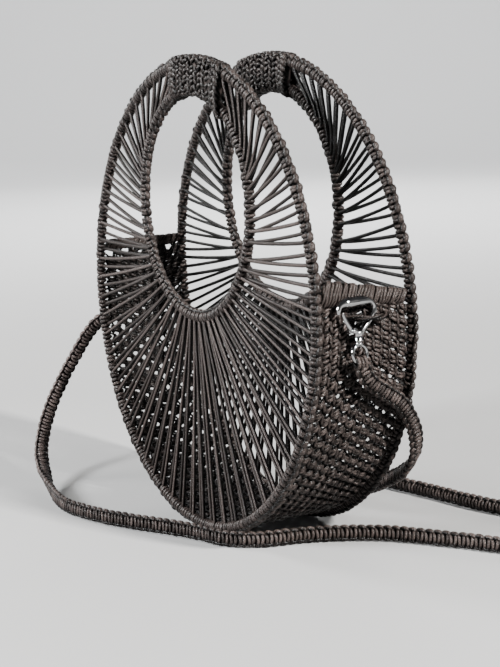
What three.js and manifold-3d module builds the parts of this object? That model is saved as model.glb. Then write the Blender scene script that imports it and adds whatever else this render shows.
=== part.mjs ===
// A round macrame handbag: two ringed faces of strung cord, a knotted gusset between them,
// two snap hooks and a long knotted strap. Millimetres, +Z up, front face towards -Y,
// origin on the standing surface under the middle of the bag.
import * as THREE from "three";
import { mergeVertices } from "three/addons/utils/BufferGeometryUtils.js";
import Module from "manifold-3d";

// Driving sizes of the two faces
const CLEARANCE = 0.3;
const RING_RADIUS = 130;
const RING_TUBE = 3.2;
const HAND_RADIUS = 63.5;
const HAND_TUBE = 3;
const HAND_RISE = 52.5;
const HALF_DEPTH = 28.5;
const FACE_LEAN = THREE.MathUtils.degToRad(1.2);
const BASE_FLAT = 0.8;
const CUT_REACH = 60;
const TUBE_SIDES = 8;
const RING_STEPS = 60;
const HAND_STEPS = 36;

// Strung cords of a face: a thin plate with long slots between rows of cord
const STRAND_GAP = 0.5;
const STRAND_THICKNESS = 2.4;
const STRAND_RIM = 1.7;
const STRAND_SLOTS = 48;
const STRAND_RIGHT = THREE.MathUtils.degToRad(17.5);
const STRAND_LEFT = THREE.MathUtils.degToRad(10.5);
const STRAND_SWING = THREE.MathUtils.degToRad(37);
const TOP_SWING = THREE.MathUtils.degToRad(17.5);
const TOP_REACH = { start: THREE.MathUtils.degToRad(26), end: THREE.MathUtils.degToRad(58) };
const STRAND_ARC_STEPS = 48;
const OUTER_BAR_SHARE = 0.2;
const INNER_BAR_SHARE = 0.2;

// Wound handle that binds both rings of a face at the top, a little to one side
const WRAP_HALF_LENGTH = 27.5;
const WRAP_SHIFT = 9;
const WRAP_THICKNESS = 11;
const WRAP_OVER_RING = 4.4;
const WRAP_UNDER_HAND = 4.6;
const WRAP_BEVEL = 2;
const WRAP_ARC_STEPS = 10;

// Knotted gusset and the bound bars at its two ends
const GUSSET_OUTER = 131.2;
const GUSSET_THICKNESS = 3.2;
const GUSSET_TOP = 12.6;
const GUSSET_STEPS = 44;
const BAR_BOTTOM = 12.9;
const BAR_TOP = 19.9;
const BAR_THICKNESS = 5.6;
const BAR_CORNER = 1.6;
const EYELET = { through: 10, left: -8, right: 8.5, bottom: -1, top: 16 };

// Cords of the gusset that a hook holds: x, y at one height over the ring's centre
const HELD_CORD_RADIUS = 1.5;
const HELD_CORD_RISE = 4;
const HELD_CORD_STEPS = 14;
const HELD_CORD_LINE = [
  [129.6, -10.6],
  [132.2, -8.2],
  [135.4, -4.6],
  [137.6, -1],
  [138, 2.6],
  [136, 7.2],
  [132.4, 10.4],
  [129.4, 12],
];

// Snap hook, in its own upright plane: u across, v up from the swivel collar
const HOOK_PLACE = { x: 135.4, y: -7.5, rise: -4.4 };
const HOOK_TURN = THREE.MathUtils.degToRad(4);
const HOOK_TILT = THREE.MathUtils.degToRad(6);
const HOOK_WIRE = 1.5;
const HOOK_STEPS = 26;
const HOOK_LINE = [
  [1.4, 0.6],
  [3.2, 3],
  [7.4, 6.8],
  [10.6, 10.6],
  [11, 13.4],
  [8.8, 16.2],
  [4.5, 17],
  [-2, 17],
  [-7, 16.9],
  [-10, 15.6],
  [-11, 13.2],
  [-11.1, 11.6],
];
const COLLAR_RADIUS = 2.6;
const COLLAR_BOTTOM = -3;
const COLLAR_TOP = 2.5;
const COLLAR_SIDES = 14;
const BORE_RADIUS = 1.6;
const BORE_TOP = -0.8;
const HINGE = { u: -2.9, v: 2.9 };
const HINGE_PIN = 0.5;
const HINGE_SIDES = 12;
const CHEEK_RADIUS = 1.5;
const CHEEK_THICKNESS = 0.8;
const GATE_NOSE = { u: -8.2, v: 12.2 };
const GATE_ROOT_RADIUS = 1.3;
const GATE_NOSE_RADIUS = 1;
const GATE_THICKNESS = 2;
const GATE_END_STEPS = 7;
const EYE_RADIUS = 4.6;
const EYE_WIRE = 1.15;
const EYE_CENTRE = -9.2;
const EYE_STEPS = 20;
const EYE_SIDES = 6;
const POST_RADIUS = 1.3;
const POST_TOP = -1.1;

// Knotted strap. Each row is a point on its middle line and how far its broad side stands
// upright there: 0 lies against the bag, 1 stands on edge on the surface.
const STRAP_WIDTH = 9.6;
const STRAP_THICKNESS = 5;
const STRAP_CHAMFER = 1.2;
const STRAP_STEPS = 76;
const STRAP_REST = 5;
const STRAP_ROUTE = [
  { x: 136.4, y: -6.3, z: 112.1, upright: 0 },
  { x: 135.2, y: -1.8, z: 104.6, upright: 0 },
  { x: 132, y: 8.8, z: 97.2, upright: 0.1 },
  { x: 128.8, y: 21.4, z: 88.6, upright: 0.2 },
  { x: 125.6, y: 30.6, z: 77.2, upright: 0.3 },
  { x: 121.2, y: 36.4, z: 66, upright: 0.4 },
  { x: 114.4, y: 39.8, z: 54.4, upright: 0.5 },
  { x: 102.6, y: 41.6, z: 44, upright: 0.7 },
  { x: 83, y: 43.6, z: 34, upright: 0.8 },
  { x: 57, y: 46, z: 23, upright: 1 },
  { x: 28, y: 51, z: 12.5, upright: 1 },
  { x: 4, y: 57, z: 6.4, upright: 1 },
  { x: -17, y: 65, z: STRAP_REST, upright: 1 },
  { x: -30, y: 79, z: STRAP_REST, upright: 1 },
  { x: -26, y: 92, z: STRAP_REST, upright: 1 },
  { x: -8, y: 98.5, z: STRAP_REST, upright: 1 },
  { x: 12, y: 102.5, z: STRAP_REST, upright: 1 },
  { x: 36, y: 108.5, z: STRAP_REST, upright: 1 },
  { x: 72, y: 116.5, z: STRAP_REST, upright: 1 },
  { x: 108, y: 130, z: STRAP_REST, upright: 1 },
  { x: 138, y: 140, z: STRAP_REST, upright: 1 },
  { x: 166, y: 132, z: STRAP_REST, upright: 1 },
  { x: 173, y: 111, z: STRAP_REST, upright: 1 },
  { x: 158, y: 91, z: STRAP_REST, upright: 1 },
  { x: 116, y: 61.5, z: STRAP_REST, upright: 1 },
  { x: 85, y: 36.5, z: STRAP_REST, upright: 1 },
  { x: 66, y: 4, z: STRAP_REST, upright: 1 },
  { x: 58, y: -24, z: STRAP_REST, upright: 1 },
  { x: 46, y: -38.5, z: STRAP_REST, upright: 1 },
  { x: 22, y: -48, z: STRAP_REST, upright: 1 },
  { x: -34, y: -78, z: STRAP_REST, upright: 1 },
  { x: -68, y: -86, z: STRAP_REST, upright: 1 },
  { x: -104, y: -80.5, z: 6, upright: 1 },
  { x: -130, y: -74, z: 11.3, upright: 1 },
  { x: -151, y: -66.5, z: 20.5, upright: 0.9 },
  { x: -166, y: -52.5, z: 42.1, upright: 0.7 },
  { x: -168, y: -33.8, z: 71.8, upright: 0.5 },
  { x: -160, y: -21, z: 93.5, upright: 0.3 },
  { x: -150, y: -6.5, z: 104.5, upright: 0.1 },
  { x: -138.6, y: 6, z: 112.3, upright: 0 },
];

const cordFinish = new THREE.MeshStandardMaterial({ color: 0x4a403c, roughness: 0.75, metalness: 0 });
const chromeFinish = new THREE.MeshStandardMaterial({ color: 0xc9cacd, roughness: 0.15, metalness: 1 });

const QUARTER_TURN = Math.PI / 2;
const WELD = 1e-4;
const centreHeight = (RING_RADIUS + RING_TUBE) * Math.cos(FACE_LEAN) - BASE_FLAT;
const eachFace = [
  { name: "front", side: -1 },
  { name: "back", side: 1 },
];

const wasm = await Module();
wasm.setup();

// A closed geometry as a solid that can be cut or joined
function solidOf(geometry) {
  const bare = geometry.clone();
  bare.deleteAttribute("normal");
  bare.deleteAttribute("uv");
  const merged = mergeVertices(bare, WELD);
  const vertProperties = Float32Array.from(merged.attributes.position.array);
  const triVerts = Uint32Array.from(merged.index.array);
  return new wasm.Manifold(new wasm.Mesh({ numProp: 3, vertProperties, triVerts }));
}

function geometryOf(solid) {
  const mesh = solid.getMesh();
  const geometry = new THREE.BufferGeometry();
  geometry.setAttribute("position", new THREE.BufferAttribute(mesh.vertProperties, 3));
  geometry.setIndex(new THREE.BufferAttribute(mesh.triVerts, 1));
  geometry.computeVertexNormals();
  return geometry;
}

function piece(name, geometry, material) {
  const mesh = new THREE.Mesh(geometry, material);
  mesh.name = name;
  return mesh;
}

// A box given by its lowest and highest corners
function boxBetween(low, high) {
  const box = new THREE.BoxGeometry(high[0] - low[0], high[1] - low[1], high[2] - low[2]);
  box.translate((low[0] + high[0]) / 2, (low[1] + high[1]) / 2, (low[2] + high[2]) / 2);
  return box;
}

function roundSection(radius, sides) {
  const points = [];
  for (let i = 0; i < sides; i++) {
    const turn = ((i + 0.5) / sides) * 2 * Math.PI;
    points.push(new THREE.Vector2(radius * Math.cos(turn), radius * Math.sin(turn)));
  }
  return new THREE.Shape(points);
}

function tubeAlong(points, radius, sides, steps) {
  const extrudePath = new THREE.CatmullRomCurve3(points, false, "centripetal");
  return new THREE.ExtrudeGeometry(roundSection(radius, sides), { steps, extrudePath });
}

// A flat shape drawn in the upright plane, given its thickness along Y
function uprightPlate(shape, thickness, curveSegments = GUSSET_STEPS) {
  const plate = new THREE.ExtrudeGeometry(shape, { depth: thickness, bevelEnabled: false, curveSegments });
  plate.translate(0, 0, -thickness / 2);
  plate.rotateX(QUARTER_TURN);
  return plate;
}

function uprightRing(radius, tube, rise, steps) {
  const ring = new THREE.TorusGeometry(radius, tube, TUBE_SIDES, steps);
  ring.rotateX(QUARTER_TURN);
  ring.translate(0, 0, rise);
  return ring;
}

// A point of a face's plane at an angle clockwise from the top
function facePoint(radius, angle, rise = 0) {
  return new THREE.Vector2(radius * Math.sin(angle), rise + radius * Math.cos(angle));
}

// Where a strand that leaves the outer ring at one angle meets the hand ring: it swings towards
// the ring's foot, and more so beside the handle
function handAngle(ringAngle) {
  const fromTop = Math.min(ringAngle, 2 * Math.PI - ringAngle);
  const beside = 1 - THREE.MathUtils.smoothstep(fromTop, TOP_REACH.start, TOP_REACH.end);
  const down = Math.sign(Math.sin(ringAngle));
  return ringAngle + STRAND_SWING * Math.sin(ringAngle) + down * TOP_SWING * beside;
}

function faceGroup(side) {
  const group = new THREE.Group();
  group.position.set(0, side * HALF_DEPTH, centreHeight);
  group.rotation.x = side * FACE_LEAN;
  group.updateMatrixWorld(true);
  return group;
}

// The outer ring, pressed flat where it stands on the surface
function outerRing(group) {
  const ring = solidOf(uprightRing(RING_RADIUS, RING_TUBE, 0, RING_STEPS));
  const belowSurface = boxBetween([-CUT_REACH, -CUT_REACH, -CUT_REACH], [CUT_REACH, CUT_REACH, 0]);
  belowSurface.applyMatrix4(group.matrixWorld.clone().invert());
  return geometryOf(ring.subtract(solidOf(belowSurface)));
}

function strandPlate() {
  const outer = RING_RADIUS - RING_TUBE - STRAND_GAP;
  const inner = HAND_RADIUS + HAND_TUBE + STRAND_GAP;
  const sweep = 2 * Math.PI - STRAND_RIGHT - STRAND_LEFT;
  const outline = [];
  for (let i = 0; i <= STRAND_ARC_STEPS; i++) {
    outline.push(facePoint(outer, STRAND_RIGHT + (sweep * i) / STRAND_ARC_STEPS));
  }
  for (let i = STRAND_ARC_STEPS; i >= 0; i--) {
    const angle = handAngle(STRAND_RIGHT + (sweep * i) / STRAND_ARC_STEPS);
    outline.push(facePoint(inner, angle, HAND_RISE));
  }
  const plate = new THREE.Shape(outline);
  const pitch = sweep / STRAND_SLOTS;
  for (let slot = 0; slot < STRAND_SLOTS; slot++) {
    const outerEnds = [slot + 1 - OUTER_BAR_SHARE, slot + OUTER_BAR_SHARE];
    const innerEnds = [slot + INNER_BAR_SHARE, slot + 1 - INNER_BAR_SHARE];
    const outerSide = outerEnds.map((at) => facePoint(outer - STRAND_RIM, STRAND_RIGHT + pitch * at));
    const innerSide = innerEnds.map((at) => {
      return facePoint(inner + STRAND_RIM, handAngle(STRAND_RIGHT + pitch * at), HAND_RISE);
    });
    plate.holes.push(new THREE.Path([...outerSide, ...innerSide]));
  }
  return uprightPlate(plate, STRAND_THICKNESS);
}

// The winding round both rings, with the rings' own room taken out of it
function handleWrap() {
  const top = RING_RADIUS + WRAP_OVER_RING - WRAP_BEVEL;
  const under = HAND_RADIUS - WRAP_UNDER_HAND + WRAP_BEVEL;
  const half = WRAP_HALF_LENGTH - WRAP_BEVEL;
  const outline = [];
  const addArc = (radius, rise, from, to) => {
    for (let i = 0; i <= WRAP_ARC_STEPS; i++) {
      const x = WRAP_SHIFT + THREE.MathUtils.lerp(from, to, i / WRAP_ARC_STEPS);
      outline.push(facePoint(radius, Math.asin(x / radius), rise));
    }
  };
  addArc(top, 0, -half, half);
  addArc(under, HAND_RISE, half, -half);
  const depth = WRAP_THICKNESS - 2 * WRAP_BEVEL;
  const winding = new THREE.ExtrudeGeometry(new THREE.Shape(outline), {
    depth,
    bevelThickness: WRAP_BEVEL,
    bevelSize: WRAP_BEVEL,
    bevelSegments: 2,
  });
  winding.translate(0, 0, -depth / 2);
  winding.rotateX(QUARTER_TURN);
  const ringRoom = solidOf(uprightRing(RING_RADIUS, RING_TUBE + CLEARANCE, 0, RING_STEPS));
  const handRoom = solidOf(uprightRing(HAND_RADIUS, HAND_TUBE + CLEARANCE, HAND_RISE, HAND_STEPS));
  return geometryOf(solidOf(winding).subtract(ringRoom).subtract(handRoom));
}

// What lies between the two outer rings, trimmed to the lean of both faces
function trimBetweenFaces(solid, groups) {
  const reach = 2 * RING_RADIUS;
  const back = RING_TUBE + CLEARANCE;
  let trimmed = solid;
  for (const { side, group } of groups) {
    const ends = [-side * back, side * reach].sort((a, b) => a - b);
    const outside = boxBetween([-reach, ends[0], -reach], [reach, ends[1], reach]);
    outside.applyMatrix4(group.matrixWorld);
    trimmed = trimmed.subtract(solidOf(outside));
  }
  return trimmed;
}

// Both ends and both faces of the bag are alike: one is the other turned half round
function halfTurned(geometry) {
  const turned = geometry.clone();
  turned.rotateZ(Math.PI);
  return turned;
}

function gussetBand(groups) {
  const inner = GUSSET_OUTER - GUSSET_THICKNESS;
  const end = Math.asin(GUSSET_TOP / GUSSET_OUTER);
  const band = new THREE.Shape();
  band.absarc(0, 0, GUSSET_OUTER, end, -Math.PI - end, true);
  band.absarc(0, 0, inner, -Math.PI - end, end, false);
  const plate = uprightPlate(band, 3 * HALF_DEPTH);
  plate.translate(0, 0, centreHeight);
  let gusset = trimBetweenFaces(solidOf(plate), groups);

  const low = [RING_RADIUS - EYELET.through, EYELET.left, centreHeight + EYELET.bottom];
  const high = [RING_RADIUS + EYELET.through, EYELET.right, centreHeight + EYELET.top];
  const eyelet = boxBetween(low, high);
  const heldLine = HELD_CORD_LINE.map(([x, y]) => new THREE.Vector3(x, y, centreHeight + HELD_CORD_RISE));
  const heldCord = tubeAlong(heldLine, HELD_CORD_RADIUS, TUBE_SIDES, HELD_CORD_STEPS);
  for (const [hole, cord] of [[eyelet, heldCord], [halfTurned(eyelet), halfTurned(heldCord)]]) {
    gusset = gusset.subtract(solidOf(hole)).add(solidOf(cord));
  }
  return geometryOf(gusset);
}

// The bound bar at a gusset's end, a rounded block that runs from ring to ring
function edgeBar(groups) {
  const middle = Math.sqrt(RING_RADIUS ** 2 - ((BAR_BOTTOM + BAR_TOP) / 2) ** 2);
  const left = middle - BAR_THICKNESS / 2;
  const right = middle + BAR_THICKNESS / 2;
  const section = new THREE.Shape([
    new THREE.Vector2(left + BAR_CORNER, BAR_BOTTOM),
    new THREE.Vector2(right - BAR_CORNER, BAR_BOTTOM),
    new THREE.Vector2(right, BAR_BOTTOM + BAR_CORNER),
    new THREE.Vector2(right, BAR_TOP - BAR_CORNER),
    new THREE.Vector2(right - BAR_CORNER, BAR_TOP),
    new THREE.Vector2(left + BAR_CORNER, BAR_TOP),
    new THREE.Vector2(left, BAR_TOP - BAR_CORNER),
    new THREE.Vector2(left, BAR_BOTTOM + BAR_CORNER),
  ]);
  const bar = uprightPlate(section, 3 * HALF_DEPTH);
  bar.translate(0, 0, centreHeight);
  return geometryOf(trimBetweenFaces(solidOf(bar), groups));
}

// A round bar that stands along v between two heights
function uprightRod(radius, bottom, top, sides) {
  const rod = new THREE.CylinderGeometry(radius, radius, top - bottom, sides);
  rod.rotateX(QUARTER_TURN);
  rod.translate(0, 0, (bottom + top) / 2);
  return rod;
}

// A round disc or pin on the gate's hinge line, between two distances from the hook's plane
function hingeDisc(radius, near, far) {
  const disc = new THREE.CylinderGeometry(radius, radius, far - near, HINGE_SIDES);
  disc.translate(HINGE.u, (near + far) / 2, HINGE.v);
  return disc;
}

function hookSolid() {
  const line = HOOK_LINE.map(([u, v]) => new THREE.Vector3(u, 0, v));
  const wire = solidOf(tubeAlong(line, HOOK_WIRE, TUBE_SIDES, HOOK_STEPS));
  const collar = solidOf(uprightRod(COLLAR_RADIUS, COLLAR_BOTTOM, COLLAR_TOP, COLLAR_SIDES));
  const bore = solidOf(uprightRod(BORE_RADIUS, COLLAR_BOTTOM - CLEARANCE, BORE_TOP, COLLAR_SIDES));
  const inside = GATE_THICKNESS / 2 + CLEARANCE;
  const outside = inside + CHEEK_THICKNESS;
  const fork = solidOf(hingeDisc(GATE_ROOT_RADIUS + CLEARANCE, -inside, inside));
  const pin = solidOf(hingeDisc(HINGE_PIN, -outside, outside));
  const cheeks = [
    solidOf(hingeDisc(CHEEK_RADIUS, inside, outside)),
    solidOf(hingeDisc(CHEEK_RADIUS, -outside, -inside)),
  ];
  return wire.add(collar).subtract(bore).subtract(fork).add(cheeks[0]).add(cheeks[1]).add(pin);
}

// The sprung lever: a slim plate, round at the hinge and at the nose
function gateSolid() {
  const lean = Math.atan2(GATE_NOSE.v - HINGE.v, GATE_NOSE.u - HINGE.u);
  const outline = [];
  const addEnd = (centre, radius, from) => {
    for (let i = 0; i <= GATE_END_STEPS; i++) {
      const turn = from + (Math.PI * i) / GATE_END_STEPS;
      outline.push(new THREE.Vector2(centre.u + radius * Math.cos(turn), centre.v + radius * Math.sin(turn)));
    }
  };
  addEnd(GATE_NOSE, GATE_NOSE_RADIUS, lean - QUARTER_TURN);
  addEnd(HINGE, GATE_ROOT_RADIUS, lean + QUARTER_TURN);
  const plate = solidOf(uprightPlate(new THREE.Shape(outline), GATE_THICKNESS));
  return plate.subtract(solidOf(hingeDisc(HINGE_PIN + CLEARANCE, -GATE_THICKNESS, GATE_THICKNESS)));
}

function eyeSolid() {
  const ring = new THREE.TorusGeometry(EYE_RADIUS, EYE_WIRE, EYE_SIDES, EYE_STEPS);
  ring.rotateX(QUARTER_TURN);
  ring.translate(0, 0, EYE_CENTRE);
  const post = uprightRod(POST_RADIUS, EYE_CENTRE + EYE_RADIUS, POST_TOP, COLLAR_SIDES);
  return solidOf(ring).add(solidOf(post));
}

// The hook's plane stands along the gusset's end, turned and tilted a little
function claspGroup() {
  const across = new THREE.Vector3(-Math.sin(HOOK_TURN), Math.cos(HOOK_TURN), 0);
  const inward = new THREE.Vector3(-Math.cos(HOOK_TURN), -Math.sin(HOOK_TURN), 0);
  const up = new THREE.Vector3(0, 0, Math.cos(HOOK_TILT)).addScaledVector(inward, Math.sin(HOOK_TILT));
  const through = new THREE.Vector3().crossVectors(up, across);
  const group = new THREE.Group();
  group.quaternion.setFromRotationMatrix(new THREE.Matrix4().makeBasis(across, through, up));
  group.position.set(HOOK_PLACE.x, HOOK_PLACE.y, centreHeight + HOOK_PLACE.rise);
  return group;
}

function rightClasp() {
  const clasp = claspGroup();
  clasp.add(piece("right_hook", geometryOf(hookSolid()), chromeFinish));
  clasp.add(piece("right_gate", geometryOf(gateSolid()), chromeFinish));
  clasp.add(piece("right_swivel_eye", geometryOf(eyeSolid()), chromeFinish));
  return clasp;
}

// The far clasp, one plain solid: its gate and its post are filled into the hook
function leftClasp() {
  const clasp = claspGroup();
  const reach = GATE_THICKNESS / 2 + CLEARANCE + CHEEK_THICKNESS / 2;
  const hinge = solidOf(hingeDisc(GATE_ROOT_RADIUS + CLEARANCE, -reach, reach));
  const post = solidOf(uprightRod(BORE_RADIUS + CLEARANCE, EYE_CENTRE + EYE_RADIUS, COLLAR_TOP / 2, COLLAR_SIDES));
  const whole = hookSolid().add(gateSolid()).add(hinge).add(post).add(eyeSolid());
  clasp.add(piece("left_clasp", geometryOf(whole), chromeFinish));
  const turned = new THREE.Group();
  turned.rotation.z = Math.PI;
  turned.add(clasp);
  return turned;
}

// The strap's middle line, with its broad side turned as the route's rows say
class StrapLine extends THREE.CatmullRomCurve3 {
  constructor(route) {
    super(route.map(({ x, y, z }) => new THREE.Vector3(x, y, z)), false, "centripetal");
    this.uprights = route.map((row) => row.upright);
  }

  uprightAt(share) {
    const place = this.getUtoTmapping(share) * (this.uprights.length - 1);
    const row = Math.min(Math.floor(place), this.uprights.length - 2);
    return THREE.MathUtils.lerp(this.uprights[row], this.uprights[row + 1], place - row);
  }

  computeFrenetFrames(segments) {
    const frames = { tangents: [], normals: [], binormals: [] };
    for (let i = 0; i <= segments; i++) {
      const tangent = this.getTangentAt(i / segments);
      const upright = this.uprightAt(i / segments);
      const broad = new THREE.Vector3(0, 1 - upright, upright);
      broad.addScaledVector(tangent, -broad.dot(tangent)).normalize();
      frames.tangents.push(tangent);
      frames.normals.push(broad);
      frames.binormals.push(new THREE.Vector3().crossVectors(tangent, broad));
    }
    return frames;
  }
}

function strapBand() {
  const wide = STRAP_WIDTH / 2;
  const thick = STRAP_THICKNESS / 2;
  const section = new THREE.Shape([
    new THREE.Vector2(wide, STRAP_CHAMFER - thick),
    new THREE.Vector2(wide, thick - STRAP_CHAMFER),
    new THREE.Vector2(wide - STRAP_CHAMFER, thick),
    new THREE.Vector2(STRAP_CHAMFER - wide, thick),
    new THREE.Vector2(-wide, thick - STRAP_CHAMFER),
    new THREE.Vector2(-wide, STRAP_CHAMFER - thick),
    new THREE.Vector2(STRAP_CHAMFER - wide, -thick),
    new THREE.Vector2(wide - STRAP_CHAMFER, -thick),
  ]);
  return new THREE.ExtrudeGeometry(section, { steps: STRAP_STEPS, extrudePath: new StrapLine(STRAP_ROUTE) });
}

const bag = new THREE.Group();
const faces = eachFace.map(({ name, side }) => ({ name, side, group: faceGroup(side) }));
for (const { name, side, group } of faces) {
  const own = (geometry) => (side < 0 ? geometry : halfTurned(geometry));
  group.add(piece(`${name}_outer_ring`, outerRing(group), cordFinish));
  const handRing = uprightRing(HAND_RADIUS, HAND_TUBE, HAND_RISE, HAND_STEPS);
  group.add(piece(`${name}_hand_ring`, handRing, cordFinish));
  group.add(piece(`${name}_strands`, own(strandPlate()), cordFinish));
  group.add(piece(`${name}_handle_wrap`, own(handleWrap()), cordFinish));
  bag.add(group);
}
bag.add(piece("gusset", gussetBand(faces), cordFinish));
const rightBar = edgeBar(faces);
bag.add(piece("right_edge_bar", rightBar, cordFinish));
bag.add(piece("left_edge_bar", halfTurned(rightBar), cordFinish));
bag.add(rightClasp());
bag.add(leftClasp());
bag.add(piece("strap", strapBand(), cordFinish));

export default bag;
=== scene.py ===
"""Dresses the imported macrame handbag: its cords, knots, lashings and clasps, each as real geometry.

Lengths are in millimetres, in the frame's axes: X across the bag, Y from front to back and Z up.
Angles on a ring run from its top towards +X. Meshes, the camera's stage and its lamps are in metres.
"""

import logging
import math
from dataclasses import dataclass
from enum import Enum

import bpy
import numpy as np
from mathutils import Matrix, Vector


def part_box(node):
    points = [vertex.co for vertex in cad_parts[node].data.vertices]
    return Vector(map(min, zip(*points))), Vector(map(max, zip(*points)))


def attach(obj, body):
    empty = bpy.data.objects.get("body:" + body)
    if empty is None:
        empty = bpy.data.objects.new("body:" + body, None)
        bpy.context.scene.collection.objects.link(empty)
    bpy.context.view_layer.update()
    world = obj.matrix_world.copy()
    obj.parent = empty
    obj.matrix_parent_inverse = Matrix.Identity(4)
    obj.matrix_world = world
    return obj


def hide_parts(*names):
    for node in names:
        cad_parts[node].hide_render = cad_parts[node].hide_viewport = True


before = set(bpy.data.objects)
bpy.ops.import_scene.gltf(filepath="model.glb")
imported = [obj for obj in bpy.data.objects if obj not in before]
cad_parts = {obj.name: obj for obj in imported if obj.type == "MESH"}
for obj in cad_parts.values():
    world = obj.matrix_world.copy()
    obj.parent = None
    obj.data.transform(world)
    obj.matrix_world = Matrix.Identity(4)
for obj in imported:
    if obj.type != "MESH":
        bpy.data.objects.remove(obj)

LOG = logging.getLogger("macrame_bag")
MM = 0.001
TURN = 2 * math.pi
UP = (0, 0, 1)
OUTER_RADIUS = 130.0
HAND_RADIUS = 63.5
HAND_RISE = 52.5

Array = np.ndarray
Colour = tuple[float, float, float]
Point = tuple[float, float, float]
Range = tuple[float, float]

CORD_TONE: Range = (0.35, 1.1)


class Seed(Enum):
    """Where the hand-made differences of each piece start. A side's piece has one more on the back."""

    OUTER_RING = 11
    HAND_RING = 13
    STRANDS = 15
    LASHING = 17
    GUSSET = 31
    LINING = 32
    RIGHT_BAR = 41
    LEFT_BAR = 42
    HOOK = 51
    GATE = 52
    EYE = 53
    LEFT_CLASP = 54
    STRAP = 61


def unit(vectors: Array) -> Array:
    """Vectors of length one along the given ones."""
    return vectors / np.linalg.norm(vectors, axis=-1, keepdims=True)


def rounded(share: Array, squareness: float) -> Array:
    """A sine or cosine pushed outwards, so that a circle becomes a rounded square."""
    return np.sign(share) * np.abs(share) ** squareness


def full_turn(steps: int) -> Array:
    """Angles spaced evenly once around, without the first one again at the end."""
    return np.linspace(0, TURN, steps, endpoint=False)


def crowned(steps: int, power: float) -> tuple[Array, Array]:
    """Places from minus one to one along a short cord, and its rise there, from nought to one and back."""
    share = np.linspace(-1, 1, steps)
    return share, np.cos(share * math.pi / 2) ** power


def upwards(low: float, share: Array) -> Array:
    """From low, where the share is nought, up to one, where it is one."""
    return low + (1 - low) * share


def smooth_line(points: Array, per_span: int) -> Array:
    """A centripetal Catmull-Rom curve, the same as the one that the solids follow.

    Args:
        points: Points that the curve passes through, with any number of columns past X, Y and Z.
        per_span: Steps between neighbouring points.

    Returns:
        The points of the curve, ends included.
    """
    points = np.asarray(points, float)
    padded = np.vstack([2 * points[0] - points[1], points, 2 * points[-1] - points[-2]])
    share = np.linspace(0, 1, per_span, endpoint=False)[:, None]
    spans = []
    for before, start, end, after in zip(padded, padded[1:], padded[2:], padded[3:]):
        gaps = [np.linalg.norm((b - a)[:3]) ** 0.5 for a, b in ((before, start), (start, end), (end, after))]
        first = (start - before) / gaps[0] - (end - before) / (gaps[0] + gaps[1]) + (end - start) / gaps[1]
        last = (end - start) / gaps[1] - (after - start) / (gaps[1] + gaps[2]) + (after - end) / gaps[2]
        first, last = first * gaps[1], last * gaps[1]
        cubic = 2 * start - 2 * end + first + last
        square = -3 * start + 3 * end - 2 * first - last
        spans.append(start + first * share + square * share**2 + cubic * share**3)
    return np.vstack(spans + [points[-1:]])


def evenly(line: Array, count: int) -> Array:
    """Spaces a line's points evenly along it.

    Args:
        line: Points of the line, with any number of columns past X, Y and Z.
        count: Number of points wanted.

    Returns:
        The points, ends included.
    """
    run = np.concatenate([[0], np.cumsum(np.linalg.norm(np.diff(line[:, :3], axis=0), axis=1))])
    places = np.linspace(0, run[-1], count)
    return np.stack([np.interp(places, run, column) for column in line.T], 1)


def add_object(name: str, data: bpy.types.ID) -> bpy.types.Object:
    """Adds a mesh, a lamp or a camera to the scene.

    Args:
        name: Name of the object.
        data: What it shows.

    Returns:
        The object.
    """
    thing = bpy.data.objects.new(name, data)
    bpy.context.collection.objects.link(thing)
    return thing


def stand(thing: bpy.types.Object, place: Array, right: Array, up: Array, back: Array) -> None:
    """Puts a camera or a lamp in its place, turned to look away from its back."""
    turned = Matrix(np.column_stack([right, up, back]).tolist()).to_4x4()
    thing.matrix_world = Matrix.Translation(place) @ turned


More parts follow.
